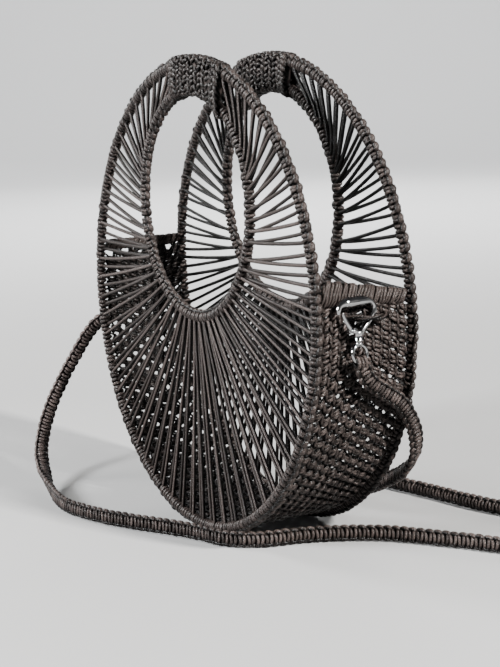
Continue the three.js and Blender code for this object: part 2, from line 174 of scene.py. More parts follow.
class CordWork:
    """Gathers lengths of cord, and other swept forms, and turns them into one mesh.

    Each length is a closed tube. Its map runs once around the cord in U and in millimetres along it in V, and
    every length has a tone of its own, which the finishes read; a fade along it paints light and shade into
    that tone.
    """

    def __init__(self, seed: int, tone: Range = CORD_TONE) -> None:
        """Starts with no cords.

        Args:
            seed: Start of the hand-made differences.
            tone: Lowest and highest tone of a length.
        """
        self.random = np.random.default_rng(seed)
        self.tone = tone
        self.points: list[Array] = []
        self.tones: list[Array] = []
        self.corners: list[Array] = []
        self.counts: list[Array] = []
        self.maps: list[Array] = []
        self.size = 0

    def jitter(self, spread: float, *shape: int) -> Array:
        """Small hand-made differences, evenly spread from minus to plus the given amount."""
        return self.random.uniform(-spread, spread, shape)

    def lay(
        self,
        lines: Array,
        radius: float | Array,
        toward: Array | Point,
        sides: int = 6,
        flat: float = 1.0,
        closed: bool = False,
        fade: float | Array = 1.0,
    ) -> None:
        """Lays a cord along each line.

        Args:
            lines: Middle lines, shaped (cords, points, 3).
            radius: Half the cord's width, one number or an array that fits (cords, points).
            toward: Direction that the flattened side faces, an array that fits the lines.
            sides: Number of sides of the cord's section.
            flat: Thickness along toward, as a share of the width.
            closed: Whether each line joins up into a loop.
            fade: Share of its tone that is left at each point, painting light and shade along it, an array
                that fits (cords, points).
        """
        lines = np.asarray(lines, float)
        cords, steps, _ = lines.shape
        along = np.roll(lines, -1, 1) - np.roll(lines, 1, 1) if closed else np.gradient(lines, axis=1)
        along = unit(along)
        toward = np.broadcast_to(toward, lines.shape)
        face = unit(toward - (toward * along).sum(2, keepdims=True) * along)
        across = np.cross(along, face)
        turn = np.arange(sides) * TURN / sides
        section = np.cos(turn)[:, None] * across[:, :, None] + flat * np.sin(turn)[:, None] * face[:, :, None]
        points = lines[:, :, None] + np.broadcast_to(radius, (cords, steps))[:, :, None, None] * section

        spans = steps if closed else steps - 1
        cord, step, side = np.meshgrid(np.arange(cords), np.arange(spans), np.arange(sides), indexing="ij")
        ahead = [(0, 0), (1, 0), (1, 1), (0, 1)]
        quads = [self._index(cord, (step + a) % steps, (side + b) % sides, steps, sides) for a, b in ahead]
        ends = np.concatenate([lines[:, 1:], lines[:, :1]], 1) if closed else lines[:, 1:]
        gaps = np.linalg.norm(ends - lines[:, :spans], axis=2)
        run = np.concatenate([np.zeros((cords, 1)), np.cumsum(gaps, 1)], 1)
        around = [np.stack([(side + b) / sides, run[cord, step + a]], -1) for a, b in ahead]
        self._add(np.stack(quads, -1).reshape(-1, 4), np.stack(around, -2).reshape(-1, 2))
        if not closed:
            self._close_ends(cords, steps, sides, run)
        self.points.append(points.reshape(-1, 3))
        tones = self.random.uniform(*self.tone, (cords, 1)) * np.broadcast_to(fade, (cords, steps))
        self.tones.append(np.repeat(tones.ravel(), sides))
        self.size += cords * steps * sides

    def _index(self, cord: Array, step: Array, side: Array, steps: int, sides: int) -> Array:
        """Number of a point in the whole mesh."""
        return self.size + (cord * steps + step) * sides + side

    def _add(self, faces: Array, places: Array) -> None:
        """Keeps faces.

        Args:
            faces: Points at the corners of each face, the same number for all.
            places: Each corner's place on the map.
        """
        self.corners.append(faces.ravel())
        self.counts.append(np.full(len(faces), faces.shape[1]))
        self.maps.append(places)

    def _close_ends(self, cords: int, steps: int, sides: int, run: Array) -> None:
        """Closes both ends of each cord with a face.

        Args:
            cords: Number of cords.
            steps: Points along each cord.
            sides: Points around it.
            run: How far along its cord each point is.
        """
        cord, side = np.meshgrid(np.arange(cords), np.arange(sides), indexing="ij")
        for step, order in ((0, side), (steps - 1, side[:, ::-1])):
            faces = self._index(cord, np.full_like(cord, step), order, steps, sides)
            self._add(faces, np.stack([order / sides, run[cord, step]], -1).reshape(-1, 2))

    def rest_on_floor(self, softness: float = 0.5) -> None:
        """Presses what would reach under the floor flat against it."""
        for points in self.points:
            points[:, 2] = 0.5 * (points[:, 2] + np.sqrt(points[:, 2] ** 2 + softness**2))

    def make(self, name: str, material: bpy.types.Material) -> bpy.types.Object:
        """Writes the mesh.

        Args:
            name: Name of the piece.
            material: Its finish.

        Returns:
            The piece, in place in the frame.
        """
        mesh = bpy.data.meshes.new(name)
        counts = np.concatenate(self.counts)
        mesh.vertices.add(self.size)
        mesh.vertices.foreach_set("co", np.concatenate(self.points).ravel() * MM)
        mesh.loops.add(int(counts.sum()))
        mesh.loops.foreach_set("vertex_index", np.concatenate(self.corners).astype(np.int32))
        mesh.polygons.add(len(counts))
        mesh.polygons.foreach_set("loop_start", (np.cumsum(counts) - counts).astype(np.int32))
        mesh.polygons.foreach_set("use_smooth", np.ones(len(counts), bool))
        mesh.uv_layers.new(name="cord").uv.foreach_set("vector", np.concatenate(self.maps).ravel())
        mesh.attributes.new("tone", "FLOAT", "POINT").data.foreach_set("value", np.concatenate(self.tones))
        mesh.update(calc_edges=True)
        mesh.validate()
        mesh.materials.append(material)
        return add_object(name, mesh)


class Value:
    """A number socket that takes part in Python expressions, each of which adds its Math node."""

    def __init__(self, shader: "Shader", socket: bpy.types.NodeSocket) -> None:
        """Wraps a socket of a shader's nodes."""
        self.shader = shader
        self.socket = socket

    def math(self, operation: str, *others: "Value | float") -> "Value":
        """The result of a Math node on this value and others."""
        return self.shader.math(operation, self, *others)

    def __add__(self, other: "Value | float") -> "Value":
        """This value and another together."""
        return self.math("ADD", other)

    def __radd__(self, other: float) -> "Value":
        """A number and this value together."""
        return self.shader.math("ADD", other, self)

    def __sub__(self, other: "Value | float") -> "Value":
        """This value less another."""
        return self.math("SUBTRACT", other)

    def __rsub__(self, other: float) -> "Value":
        """A number less this value."""
        return self.shader.math("SUBTRACT", other, self)

    def __mul__(self, other: "Value | float") -> "Value":
        """This value times another."""
        return self.math("MULTIPLY", other)

    def __rmul__(self, other: float) -> "Value":
        """A number times this value."""
        return self.shader.math("MULTIPLY", other, self)

    def sine(self) -> "Value":
        """Sine of the value, in radians."""
        return self.math("SINE")

    def maximum(self, other: "Value | float") -> "Value":
        """The larger of two values."""
        return self.math("MAXIMUM", other)

    def smoothstep(self, low: float, high: float) -> "Value":
        """Nought below low, one above high and a smooth rise between.

        Args:
            low: Where the rise starts.
            high: Where it ends.

        Returns:
            The risen value.
        """
        sockets = {"Value": self, "From Min": low, "From Max": high}
        node = self.shader.node("ShaderNodeMapRange", {"interpolation_type": "SMOOTHSTEP"}, sockets)
        return Value(self.shader, node.outputs["Result"])


class Shader:
    """A material and its nodes, with the surface shader and the sockets that the finishes set."""

    def __init__(self, name: str) -> None:
        """Starts a material with its surface shader alone.

        Args:
            name: Name of the material.
        """
        self.material = bpy.data.materials.new(name)
        self.material.use_nodes = True
        self.tree = self.material.node_tree
        self.surface = self.tree.nodes["Principled BSDF"]

    def node(
        self, kind: str, settings: dict[str, object], sockets: dict[str | int, object],
    ) -> bpy.types.Node:
        """Adds a node.

        Args:
            kind: Blender's name for the node's type.
            settings: The node's own properties, set first.
            sockets: Values or links of its inputs, by name or number.

        Returns:
            The node.
        """
        node = self.tree.nodes.new(kind)
        for key, value in settings.items():
            setattr(node, key, value)
        for key, value in sockets.items():
            self.feed(node.inputs[key], value)
        return node

    def feed(self, socket: bpy.types.NodeSocket, value: object) -> None:
        """Links a socket to what feeds it, or sets its value.

        Args:
            socket: The input.
            value: A value or a socket to link to, or a number, colour or vector to set.
        """
        source = value.socket if isinstance(value, Value) else value
        if isinstance(source, bpy.types.NodeSocket):
            self.tree.links.new(source, socket)
        else:
            socket.default_value = source

    def math(self, operation: str, *values: Value | float) -> Value:
        """A Math node on values and numbers."""
        node = self.node("ShaderNodeMath", {"operation": operation}, dict(enumerate(values)))
        return Value(self, node.outputs[0])

    def mix(self, share: Value, first: Colour, second: Colour) -> bpy.types.NodeSocket:
        """A colour between two others."""
        sockets = {"Factor": share, 6: (*first, 1.0), 7: (*second, 1.0)}
        return self.node("ShaderNodeMix", {"data_type": "RGBA"}, sockets).outputs[2]

    def noise(self, scale: float, detail: float) -> Value:
        """Smooth noise over the piece.

        Args:
            scale: Number of lumps in a metre.
            detail: Number of finer layers.

        Returns:
            The noise, from nought to one.
        """
        place = self.node("ShaderNodeTexCoord", {}, {}).outputs["Object"]
        node = self.node("ShaderNodeTexNoise", {}, {"Vector": place, "Scale": scale, "Detail": detail})
        return Value(self, node.outputs[0])

    def bump(self, height: Value, strength: float, depth: float) -> None:
        """Raises the surface's shading by a height, whose full range is depth metres."""
        sockets = {"Height": height, "Strength": strength, "Distance": depth}
        self.dress({"Normal": self.node("ShaderNodeBump", {}, sockets).outputs["Normal"]})

    def dress(self, sockets: dict[str, object]) -> None:
        """Sets or links the surface shader's sockets."""
        for key, value in sockets.items():
            self.feed(self.surface.inputs[key], value)


@dataclass(frozen=True)
class CordFinish:
    """Braided polyester cord: matt, slightly sheened, lighter on the crowns of its plaits; painted shade
    darkens each cord's sides.
    """

    name: str = "braided_cord"
    shade: Colour = (0.0006, 0.0005, 0.0005)
    light: Colour = (0.029, 0.0228, 0.0209)
    plait: float = 1.5
    plaits_around: int = 4
    # Painted shade: where the darkening round each cord's sides gives way to the lit side that it faces out.
    crest: Range = (0.15, 1.1)
    crown: Range = (-0.4, 1.0)
    cloud_scale: float = 45.0
    fibre_scale: float = 2000.0
    fibre: Range = (0.3, 0.75)
    crown_share: float = 0.25
    cloud_share: float = 0.5
    fibre_share: float = 0.55
    low_share: float = 0.03
    roughness: float = 0.3
    fibre_roughness: float = 0.16
    tone_polish: float = 0.08
    specular: float = 0.07
    relief: float = 0.00022
    relief_strength: float = 0.6
    fibre_relief: float = 0.5

    def material(self) -> bpy.types.Material:
        """Builds the finish.

        Returns:
            The material.
        """
        shader = Shader(self.name)
        place = shader.node("ShaderNodeUVMap", {"uv_map": "cord"}, {}).outputs["UV"]
        parts = shader.node("ShaderNodeSeparateXYZ", {}, {0: place})
        turn = Value(shader, parts.outputs[0]) * TURN
        # Painted shade: the cord is kept dark away from the side that it faces out.
        crest = turn.sine().smoothstep(*self.crest)
        around = turn * self.plaits_around
        along = Value(shader, parts.outputs[1]) * (TURN / self.plait)
        plait = (around + along).sine().maximum((around - along).sine())
        crown = plait.smoothstep(*self.crown)
        attribute = shader.node("ShaderNodeAttribute", {"attribute_name": "tone"}, {})
        tone = Value(shader, attribute.outputs["Fac"])
        cloud = shader.noise(self.cloud_scale, 3.0)
        fibre = shader.noise(self.fibre_scale, 2.0).smoothstep(*self.fibre)
        wear = self.crown_share * crown + self.cloud_share * cloud + self.fibre_share * fibre
        # Painted light and shade: the tone and wear show mostly on each cord's outer side, the rest stays
        # dark.
        tone_with_painted_light = tone * (crest * wear + self.low_share * crown)
        shader.dress({
            "Base Color": shader.mix(tone_with_painted_light, self.shade, self.light),
            "Roughness": self.roughness + self.fibre_roughness * fibre - self.tone_polish * tone,
            "Specular IOR Level": self.specular,
        })
        shader.bump(crown + self.fibre_relief * fibre, self.relief_strength, self.relief)
        return shader.material


@dataclass(frozen=True)
class ChromeFinish:
    """Polished nickel plating with the fine scratches of use."""

    name: str = "polished_chrome"
    colour: Colour = (0.3, 0.3, 0.305)
    dulled: Colour = (0.24, 0.237, 0.232)
    haze_scale: float = 260.0
    haze: Range = (0.35, 0.8)
    dulling: float = 0.6
    roughness: float = 0.06
    haze_roughness: float = 0.1
    scratch_scale: float = 1800.0
    scratch_strength: float = 0.08
    scratch_depth: float = 0.00005

    def material(self) -> bpy.types.Material:
        """Builds the finish.

        Returns:
            The material.
        """
        shader = Shader(self.name)
        haze = shader.noise(self.haze_scale, 4.0).smoothstep(*self.haze)
        shader.dress({
            "Base Color": shader.mix(haze * self.dulling, self.colour, self.dulled),
            "Metallic": 1.0,
            "Roughness": self.roughness + self.haze_roughness * haze,
        })
        shader.bump(shader.noise(self.scratch_scale, 3.0), self.scratch_strength, self.scratch_depth)
        return shader.material


@dataclass(frozen=True)
class FloorFinish:
    """The pale matt sheet that the bag stands on."""

    name: str = "pale_sheet"
    colour: Colour = (0.135, 0.136, 0.136)
    dusty: Colour = (0.129, 0.13, 0.13)
    dust_scale: float = 6.0
    roughness: float = 0.85
    specular: float = 0.2

    def material(self) -> bpy.types.Material:
        """Builds the finish.

        Returns:
            The material.
        """
        shader = Shader(self.name)
        dust = shader.noise(self.dust_scale, 4.0)
        shader.dress({
            "Base Color": shader.mix(dust, self.colour, self.dusty),
            "Roughness": self.roughness,
            "Specular IOR Level": self.specular,
        })
        return shader.material


class Slot(Enum):
    """The record's material slots."""

    CORD = "cord"
    CHROME = "chrome"
    STRAP = "strap_cord"


class Body(Enum):
    """The bodies that pieces ride on."""

    BAG = "bag"
    GATE = "gate"


def fit(piece: bpy.types.Object, body: Body, slot: Slot, *nodes: str) -> bpy.types.Object:
    """Ties a piece to the frame.

    Args:
        piece: The piece, in place.
        body: Body that it moves with.
        slot: Material slot that it takes its finish from; not used.
        nodes: Solids that it stands for.

    Returns:
        The piece.
    """
    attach(piece, body.value)
    if nodes:
        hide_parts(*nodes)
    LOG.info("%s: %d faces", piece.name, len(piece.data.polygons))
    return piece


@dataclass(frozen=True)
class Face:
    """One round side of the bag, leaning in at the top. The back is the front turned half round."""

    name: str
    side: int
    half_depth: float = 28.5
    lean: float = math.radians(1.2)
    centre: float = 132.37

    def place(self, points: Array) -> Array:
        """Puts points of the side into the frame.

        Args:
            points: X, how far out of the side's plane, and Z from the outer ring's middle.

        Returns:
            Points of the frame.
        """
        out = self.side * points[..., 1]
        lean = self.side * self.lean
        y = self.side * self.half_depth + out * math.cos(lean) - points[..., 2] * math.sin(lean)
        z = self.centre + out * math.sin(lean) + points[..., 2] * math.cos(lean)
        return np.stack([-self.side * points[..., 0], y, z], -1)

    def point_to(self, vectors: Array) -> Array:
        """Directions of the frame for directions of the side."""
        return self.place(vectors) - self.place(np.zeros(3))


def on_ring(angle: Array, radius: Array | float, out: Array | float, rise: float = 0.0) -> Array:
    """Points of a side at an angle from a ring's top."""
    angle, radius, out = np.broadcast_arrays(angle, radius, out)
    return np.stack([radius * np.sin(angle), out, rise + radius * np.cos(angle)], -1)


class SidePiece:
    """Cord work that is made twice, once for each round side of the bag."""

    names: tuple[str, str]
    tone: Range

    def build(self, face: Face, finish: bpy.types.Material, seed: int) -> bpy.types.Object:
        """Builds the piece of one side and ties it to its solid.

        Args:
            face: Side of the bag.
            finish: Finish of the cord.
            seed: Start of the hand-made differences.

        Returns:
            The piece.
        """
        piece, solid = self.names
        work = CordWork(seed, self.tone)
        self.lay(work, face)
        made = work.make(f"{face.name}_{piece}", finish)
        return fit(made, Body.BAG, Slot.CORD, f"{face.name}_{solid}")

    def lay(self, work: CordWork, face: Face) -> None:
        """Lays the piece's cords, which each kind of piece does in its own way."""
        raise NotImplementedError


class Spine(Enum):
    """Which way the ridge of a knotted ring cover faces."""

    OUTWARD = 1
    INWARD = -1


@dataclass
class RingCover(SidePiece):
    """Cord knotted all round a metal ring: knots of two wraps each, with a ridge of loops along the spine."""

    node: str
    radius: float
    rise: float
    spine: Spine
    knots: int
    bare: Range
    core: float = 1.6
    wrap_middle: float = 2.1
    cord: float = 1.2
    cord_flat: float = 0.88
    pairing: float = 0.225
    pinch: float = 0.25
    loop: float = 1.7
    loop_flat: float = 0.9
    loop_ends: float = 0.55
    loop_end_painted_shade: float = 0.2
    loop_reach: float = 0.47
    loop_sink: float = 0.3
    loop_height: float = 1.4
    loop_bend: float = 0.6
    slant: float = math.radians(14)
    tone: Range = (0.3, 0.95)

    @property
    def names(self) -> tuple[str, str]:
        """The piece's name and its solid's, without the side."""
        return f"{self.node}_cover", self.node

    def lay(self, work: CordWork, face: Face) -> None:
        """Lays the ring and its knots, apart from the stretch that the handle's lashing covers.

        Args:
            work: Where the cords go.
            face: Side of the bag that the ring is on.
        """
        pitch = TURN / self.knots
        angles = np.arange(self.knots) * pitch
        left, right = (math.asin(reach / self.radius) for reach in self.bare)
        angles = angles[(angles > right) & (angles < TURN - left)]
        ring = on_ring(full_turn(self.knots), self.radius, 0.0, self.rise)
        work.lay(face.place(ring)[None], self.core, (0, 1, 0), 8, closed=True)
        self._wraps(work, face, angles, pitch)
        self._loops(work, face, angles, pitch)
        work.rest_on_floor()

    def _wraps(self, work: CordWork, face: Face, angles: Array, pitch: float) -> None:
        """Two wraps for each knot, drawn together under its loop.

        Args:
            work: Where the cords go.
            face: Side of the bag that the ring is on.
            angles: Angle of each knot.
            pitch: Angle from knot to knot.
        """
        turn = full_turn(12)
        towards_spine = np.cos(turn) * self.spine.value
        for half in (-1, 1):
            middle = angles + half * self.pairing * pitch + work.jitter(0.03 * pitch, len(angles))
            draw = self.pinch * half * np.clip(np.cos(turn), 0, None) / self.radius
            slant = work.jitter(0.3, len(angles), 1) * np.sin(turn) / self.radius
            around = middle[:, None] - draw + slant
            reach = self.wrap_middle + work.jitter(0.1, len(angles), 1)
            lines = on_ring(around, self.radius + reach * towards_spine, reach * np.sin(turn), self.rise)
            outward = on_ring(around, towards_spine, np.sin(turn) * np.ones_like(around))
            work.lay(face.place(lines), self.cord, face.point_to(outward), 6, self.cord_flat, closed=True)

    def _loops(self, work: CordWork, face: Face, angles: Array, pitch: float) -> None:
        """The loop that holds each knot's wraps together, along the spine, darkened towards its ends by
        painted shade.

        Args:
            work: Where the cords go.
            face: Side of the bag that the ring is on.
            angles: Angle of each knot.
            pitch: Angle from knot to knot.
        """
        count = len(angles)
        share, crown = crowned(9, self.loop_bend)
        middle = angles + work.jitter(0.05 * pitch, count)
        around = middle[:, None] + share * self.loop_reach * pitch * (1 + work.jitter(0.08, count, 1))
        turn = self.slant * share + work.jitter(0.16, count, 1)
        height = self.wrap_middle - self.loop_sink + (self.loop_height + work.jitter(0.2, count, 1)) * crown
        across, up = np.sin(turn), np.cos(turn) * self.spine.value
        lines = on_ring(around, self.radius + height * up, height * across, self.rise)
        thickness = self.loop * upwards(self.loop_ends, crown) * (1 + work.jitter(0.08, count, 1))
        facing = face.point_to(on_ring(around, up, across))
        # Painted shade: each loop darkens towards its ends, where it goes under the wraps.
        fade = upwards(self.loop_end_painted_shade, crown)
        work.lay(face.place(lines), thickness, facing, 10, self.loop_flat, fade=fade)


@dataclass
class StrandWeb(SidePiece):
    """Bare cords stretched in a zigzag between the two rings, bunched below the hand ring."""

    first: float = math.radians(20.1)
    last: float = math.radians(349.6)
    pairs: int = 66
    crowding: float = 0.183
    hand_knots: int = 75
    bunching: float = 0.85
    swing: float = math.radians(37.0)
    top_swing: float = math.radians(17.5)
    top_reach: Range = (math.radians(26), math.radians(58))
    split: float = 0.5
    cord: float = 1.04
    over: float = 1.0
    dip: float = 0.55
    ring_ends: Range = (0.4, 6.0)
    hand_ends: Range = (5.0, 0.6)
    over_painted_light: float = 1.2
    under_painted_shade: float = 0.65
    tone: Range = CORD_TONE
    names: tuple[str, str] = ("strand_web", "strands")

    def lay(self, work: CordWork, face: Face) -> None:
        """Lays the strands over the rings' outer side, then those that run back on their inner side.

        Args:
            work: Where the cords go.
            face: Side of the bag.
        """
        outer = np.linspace(self.first, self.last, self.pairs)
        outer = outer - self.crowding * np.sin(outer)
        inner = self._hand_angles(outer)
        self._run(work, face, outer, inner, self.over)
        foot = int(np.searchsorted(outer, math.pi))
        between = outer[:-1] + self.split * np.diff(outer)
        self._run(work, face, between[:foot], inner[1 : foot + 1], -self.over)
        self._run(work, face, between[foot:], inner[foot:-1], -self.over)

    def _hand_angles(self, outer: Array) -> Array:
        """Where strands meet the hand ring: swung towards its foot, and bunched at its knots.

        Args:
            outer: Angles on the outer ring.

        Returns:
            Angles on the hand ring.
        """
        from_top = np.abs(np.mod(outer + math.pi, TURN) - math.pi)
        start, stop = self.top_reach
        share = np.clip((from_top - start) / (stop - start), 0, 1)
        fade = 1 - share**2 * (3 - 2 * share)
        inner = outer + self.swing * np.sin(outer) + np.sign(np.sin(outer)) * self.top_swing * fade
        pitch = TURN / self.hand_knots
        knot = (np.floor(inner / pitch) + 0.5) * pitch
        return inner + self.bunching * (knot - inner)

    def _run(self, work: CordWork, face: Face, outer: Array, inner: Array, out: float) -> None:
        """One cord from each outer angle to its inner angle.

        Args:
            work: Where the cords go.
            face: Side of the bag.
            outer: Angles on the outer ring.
            inner: Angles on the hand ring.
            out: How far out of the rings' plane the cords start and end.
        """
        count = len(outer)
        outer = outer + work.jitter(0.004, count)
        inner = inner + work.jitter(0.008, count)
        start = on_ring(outer, OUTER_RADIUS - self.ring_ends[0], out)
        leave = on_ring(outer, OUTER_RADIUS - self.ring_ends[1], out * self.dip)
        arrive = on_ring(inner, HAND_RADIUS + self.hand_ends[0], out * self.dip, HAND_RISE)
        end = on_ring(inner, HAND_RADIUS + self.hand_ends[1], out, HAND_RISE)
        share = np.linspace(0, 1, 12)[:, None]
        leave, arrive = leave[:, None], arrive[:, None]
        lines = (1 - share) ** 3 * start[:, None] + 3 * share * (1 - share) ** 2 * leave
        lines = lines + 3 * share**2 * (1 - share) * arrive + share**3 * end[:, None]
        lines[..., 1] += work.jitter(0.25, count, 1) * np.sin(share[:, 0] * math.pi)
        radius = self.cord + work.jitter(0.06, count, 1)
        # Painted light on the cords that run over the rings, painted shade on those that run back inside
        # them.
        fade = self.over_painted_light if out > 0 else self.under_painted_shade
        work.lay(face.place(lines), radius, (0, face.side, 0), 8, fade=fade)


@dataclass
class HandleLashing(SidePiece):
    """Cord worked over both rings at the top: columns of slanted stitches, wraps below, braided ends."""

    half_length: float = 27.5
    shift: float = 9.0
    lap: float = 3.0
    over: float = 133.2
    under: float = 60.8
    half_thickness: float = 4.4
    squareness: float = 0.6
    core_inset: float = 3.5
    core_taper: float = 0.7
    row: float = 2.7
    column: float = 4.3
    column_ends: Range = (1.5, 4.0)
    lean: float = math.radians(52)
    stitch: float = 5.0
    stitch_part: float = 0.45
    bar_rise: float = 2.1
    bar_sink: float = 1.25
    bar_ends: float = 0.55
    bar_bend: float = 0.6
    wrap_gap: float = 2.6
    wrap_ends: Range = (1.2, 1.0)
    wrap_lap: float = 0.02
    wrap_cord: float = 1.2
    cord: float = 1.25
    cord_flat: float = 0.95
    end_gap: float = 2.7
    end_columns: tuple[tuple[float, int], ...] = ((3.6, 1), (1.0, -1))
    end_lean: float = math.radians(40)
    end_bar: float = 4.6
    end_cord: float = 1.4
    tone: Range = (0.15, 0.65)
    names: tuple[str, str] = ("handle_lashing", "handle_wrap")

    def lay(self, work: CordWork, face: Face) -> None:
        """Lays the bundle and the cords around it.

        Args:
            work: Where the cords go.
            face: Side of the bag.
        """
        self._core(work, face)
        self._stitches(work, face)
        self._wraps(work, face)
        self._end_chains(work, face)

    @property
    def bared(self) -> Range:
        """How far the lashing reaches to the left and right, less the lap where knots go on under it."""
        return self.half_length - self.shift - self.lap, self.half_length + self.shift - self.lap

    def _section(self, x: Array) -> tuple[Array, Array]:
        """Measures the lashing's height.

        Args:
            x: X of each place.

        Returns:
            Middle height and half height there.
        """
        top = np.sqrt(self.over**2 - x**2)
        low = HAND_RISE + np.sqrt(self.under**2 - x**2)
        return (top + low) / 2, (top - low) / 2

    @property
    def girth(self) -> float:
        """Length once around the lashing at its middle."""
        return float(self._rounds()[1][-1])

    def _rounds(self) -> tuple[Array, Array]:
        """Measures once around the section at its middle.

        Returns:
            Angles from the section's crest, and the run along it at each.
        """
        turn = np.linspace(0, TURN, 361)
        _, half = self._section(np.zeros(1))
        out = self.half_thickness * rounded(np.sin(turn), self.squareness)
        up = half[0] * rounded(np.cos(turn), self.squareness)
        steps = np.hypot(np.diff(out), np.diff(up))
        return turn, np.concatenate([[0], np.cumsum(steps)])

    def _on(self, x: Array, run: Array, lift: Array) -> Array:
        """Points of the side on the lashing.

        Args:
            x: X of each point.
            run: How far down from the crest it is, around the section.
            lift: How far it is raised off the surface.

        Returns:
            The points.
        """
        turn, runs = self._rounds()
        angle = np.interp(np.mod(run, runs[-1]), runs, turn)
        x, angle, lift = np.broadcast_arrays(np.asarray(x, float), angle, lift)
        middle, half = self._section(x)
        out = (self.half_thickness + lift) * rounded(np.sin(angle), self.squareness)
        up = (half + lift) * rounded(np.cos(angle), self.squareness)
        return np.stack([x, out, middle + up], -1)

    def _cords(
        self,
        work: CordWork,
        face: Face,
        course: tuple[Array, Array, Array],
        thickness: Array | float,
        fade: Array | float = 1.0,
    ) -> None:
        """Lays cords over the lashing's surface.

        Args:
            work: Where the cords go.
            face: Side of the bag.
            course: X, run and lift of the cords' points.
            thickness: Half their width.
            fade: Share of the tone that is left at each point, which paints shade onto the cords.
        """
        x, run, lift = course
        lines = self._on(x, run, lift)
        outward = face.point_to(self._on(x, run, lift + 1.5) - lines)
        work.lay(face.place(lines), thickness, outward, 6, self.cord_flat, fade=fade)

    def _core(self, work: CordWork, face: Face) -> None:
        """The bundle inside the stitches, drawn in at its ends.

        Args:
            work: Where the cords go.
            face: Side of the bag.
        """
        share = np.linspace(-1, 1, 25)
        x = self.shift + (self.half_length - self.core_inset) * share
        middle, half = self._section(x)
        half = half * (1 - self.core_taper * np.abs(share) ** 24)
        lines = np.stack([x, np.zeros_like(x), middle], -1)
        flat = self.half_thickness / float(half.mean())
        work.lay(face.place(lines)[None], half, face.point_to(np.array([0.0, 1.0, 0.0])), 24, flat)

    def _bars(
        self, work: CordWork, face: Face, spots: tuple[Array, Array, Array], long: float, cord: float,
    ) -> None:
        """Short slanted bars on the lashing, each raised in its middle and darkened towards its ends by
        painted shade.

        Args:
            work: Where the cords go.
            face: Side of the bag.
            spots: X, run and slant of each bar.
            long: Length of a bar.
            cord: Half its width.
        """
        x, run, lean = spots
        share, crown = crowned(6, self.bar_bend)
        across = x[:, None] + np.sin(lean)[:, None] * share * long / 2
        down = run[:, None] - np.cos(lean)[:, None] * share * long / 2
        lift = self.bar_rise * crown - self.bar_sink
        # Painted shade: the crown also sets each bar's tone, dark at its ends where it goes under.
        self._cords(work, face, (across, down, lift), cord * upwards(self.bar_ends, crown), crown)

    def _stitches(self, work: CordWork, face: Face) -> None:
        """Columns of stitches over the crest and down both faces, slanted one way and the other in turn.

        Args:
            work: Where the cords go.
            face: Side of the bag.
        """
        reach = self.stitch_part * self.girth
        first, last = self.column_ends
        rows = np.arange(-reach, reach + 0.1, self.row)
        columns = np.arange(first - self.half_length, self.half_length - last, self.column)
        turned = np.where(np.arange(len(columns)) % 2, -1, 1)
        run = (rows[:, None] + turned * self.row / 4).ravel() + work.jitter(0.55, len(rows) * len(columns))
        x = self.shift + np.tile(columns, len(rows)) + work.jitter(0.6, run.size)
        lean = np.tile(turned, len(rows)) * self.lean + work.jitter(0.35, run.size)
        self._bars(work, face, (x, run, lean), self.stitch, self.cord)

    def _wraps(self, work: CordWork, face: Face) -> None:
        """Close upright wraps under the hand ring, from the stitches on one face to those on the other.

        Args:
            work: Where the cords go.
            face: Side of the bag.
        """
        first, last = self.wrap_ends
        x = self.shift + np.arange(first - self.half_length, self.half_length - last, self.wrap_gap)
        share = np.linspace(0, 1, 13)
        reach = 1 + 2 * self.wrap_lap - 2 * self.stitch_part
        run = self.girth * (self.stitch_part - self.wrap_lap + reach * share)
        across = x[:, None] + work.jitter(0.25, len(x), 1) + work.jitter(0.9, len(x), 1) * (share - 0.5)
        lift = work.jitter(0.3, len(x), 1) * np.ones_like(share)
        self._cords(work, face, (across, run[None] * np.ones_like(across), lift), self.cord * self.wrap_cord)

    def _end_chains(self, work: CordWork, face: Face) -> None:
        """A braid of slanted loops around each end of the lashing.

        Args:
            work: Where the cords go.
            face: Side of the bag.
        """
        count = int(self.girth / self.end_gap)
        run = np.arange(count) * self.girth / count
        for end in (-1, 1):
            for inset, turned in self.end_columns:
                x = self.shift + np.full(count, end * (self.half_length - inset)) + work.jitter(0.25, count)
                lean = turned * self.end_lean + work.jitter(0.12, count)
                spots = (x, run + work.jitter(0.2, count), lean)
                self._bars(work, face, spots, self.end_bar, self.end_cord)


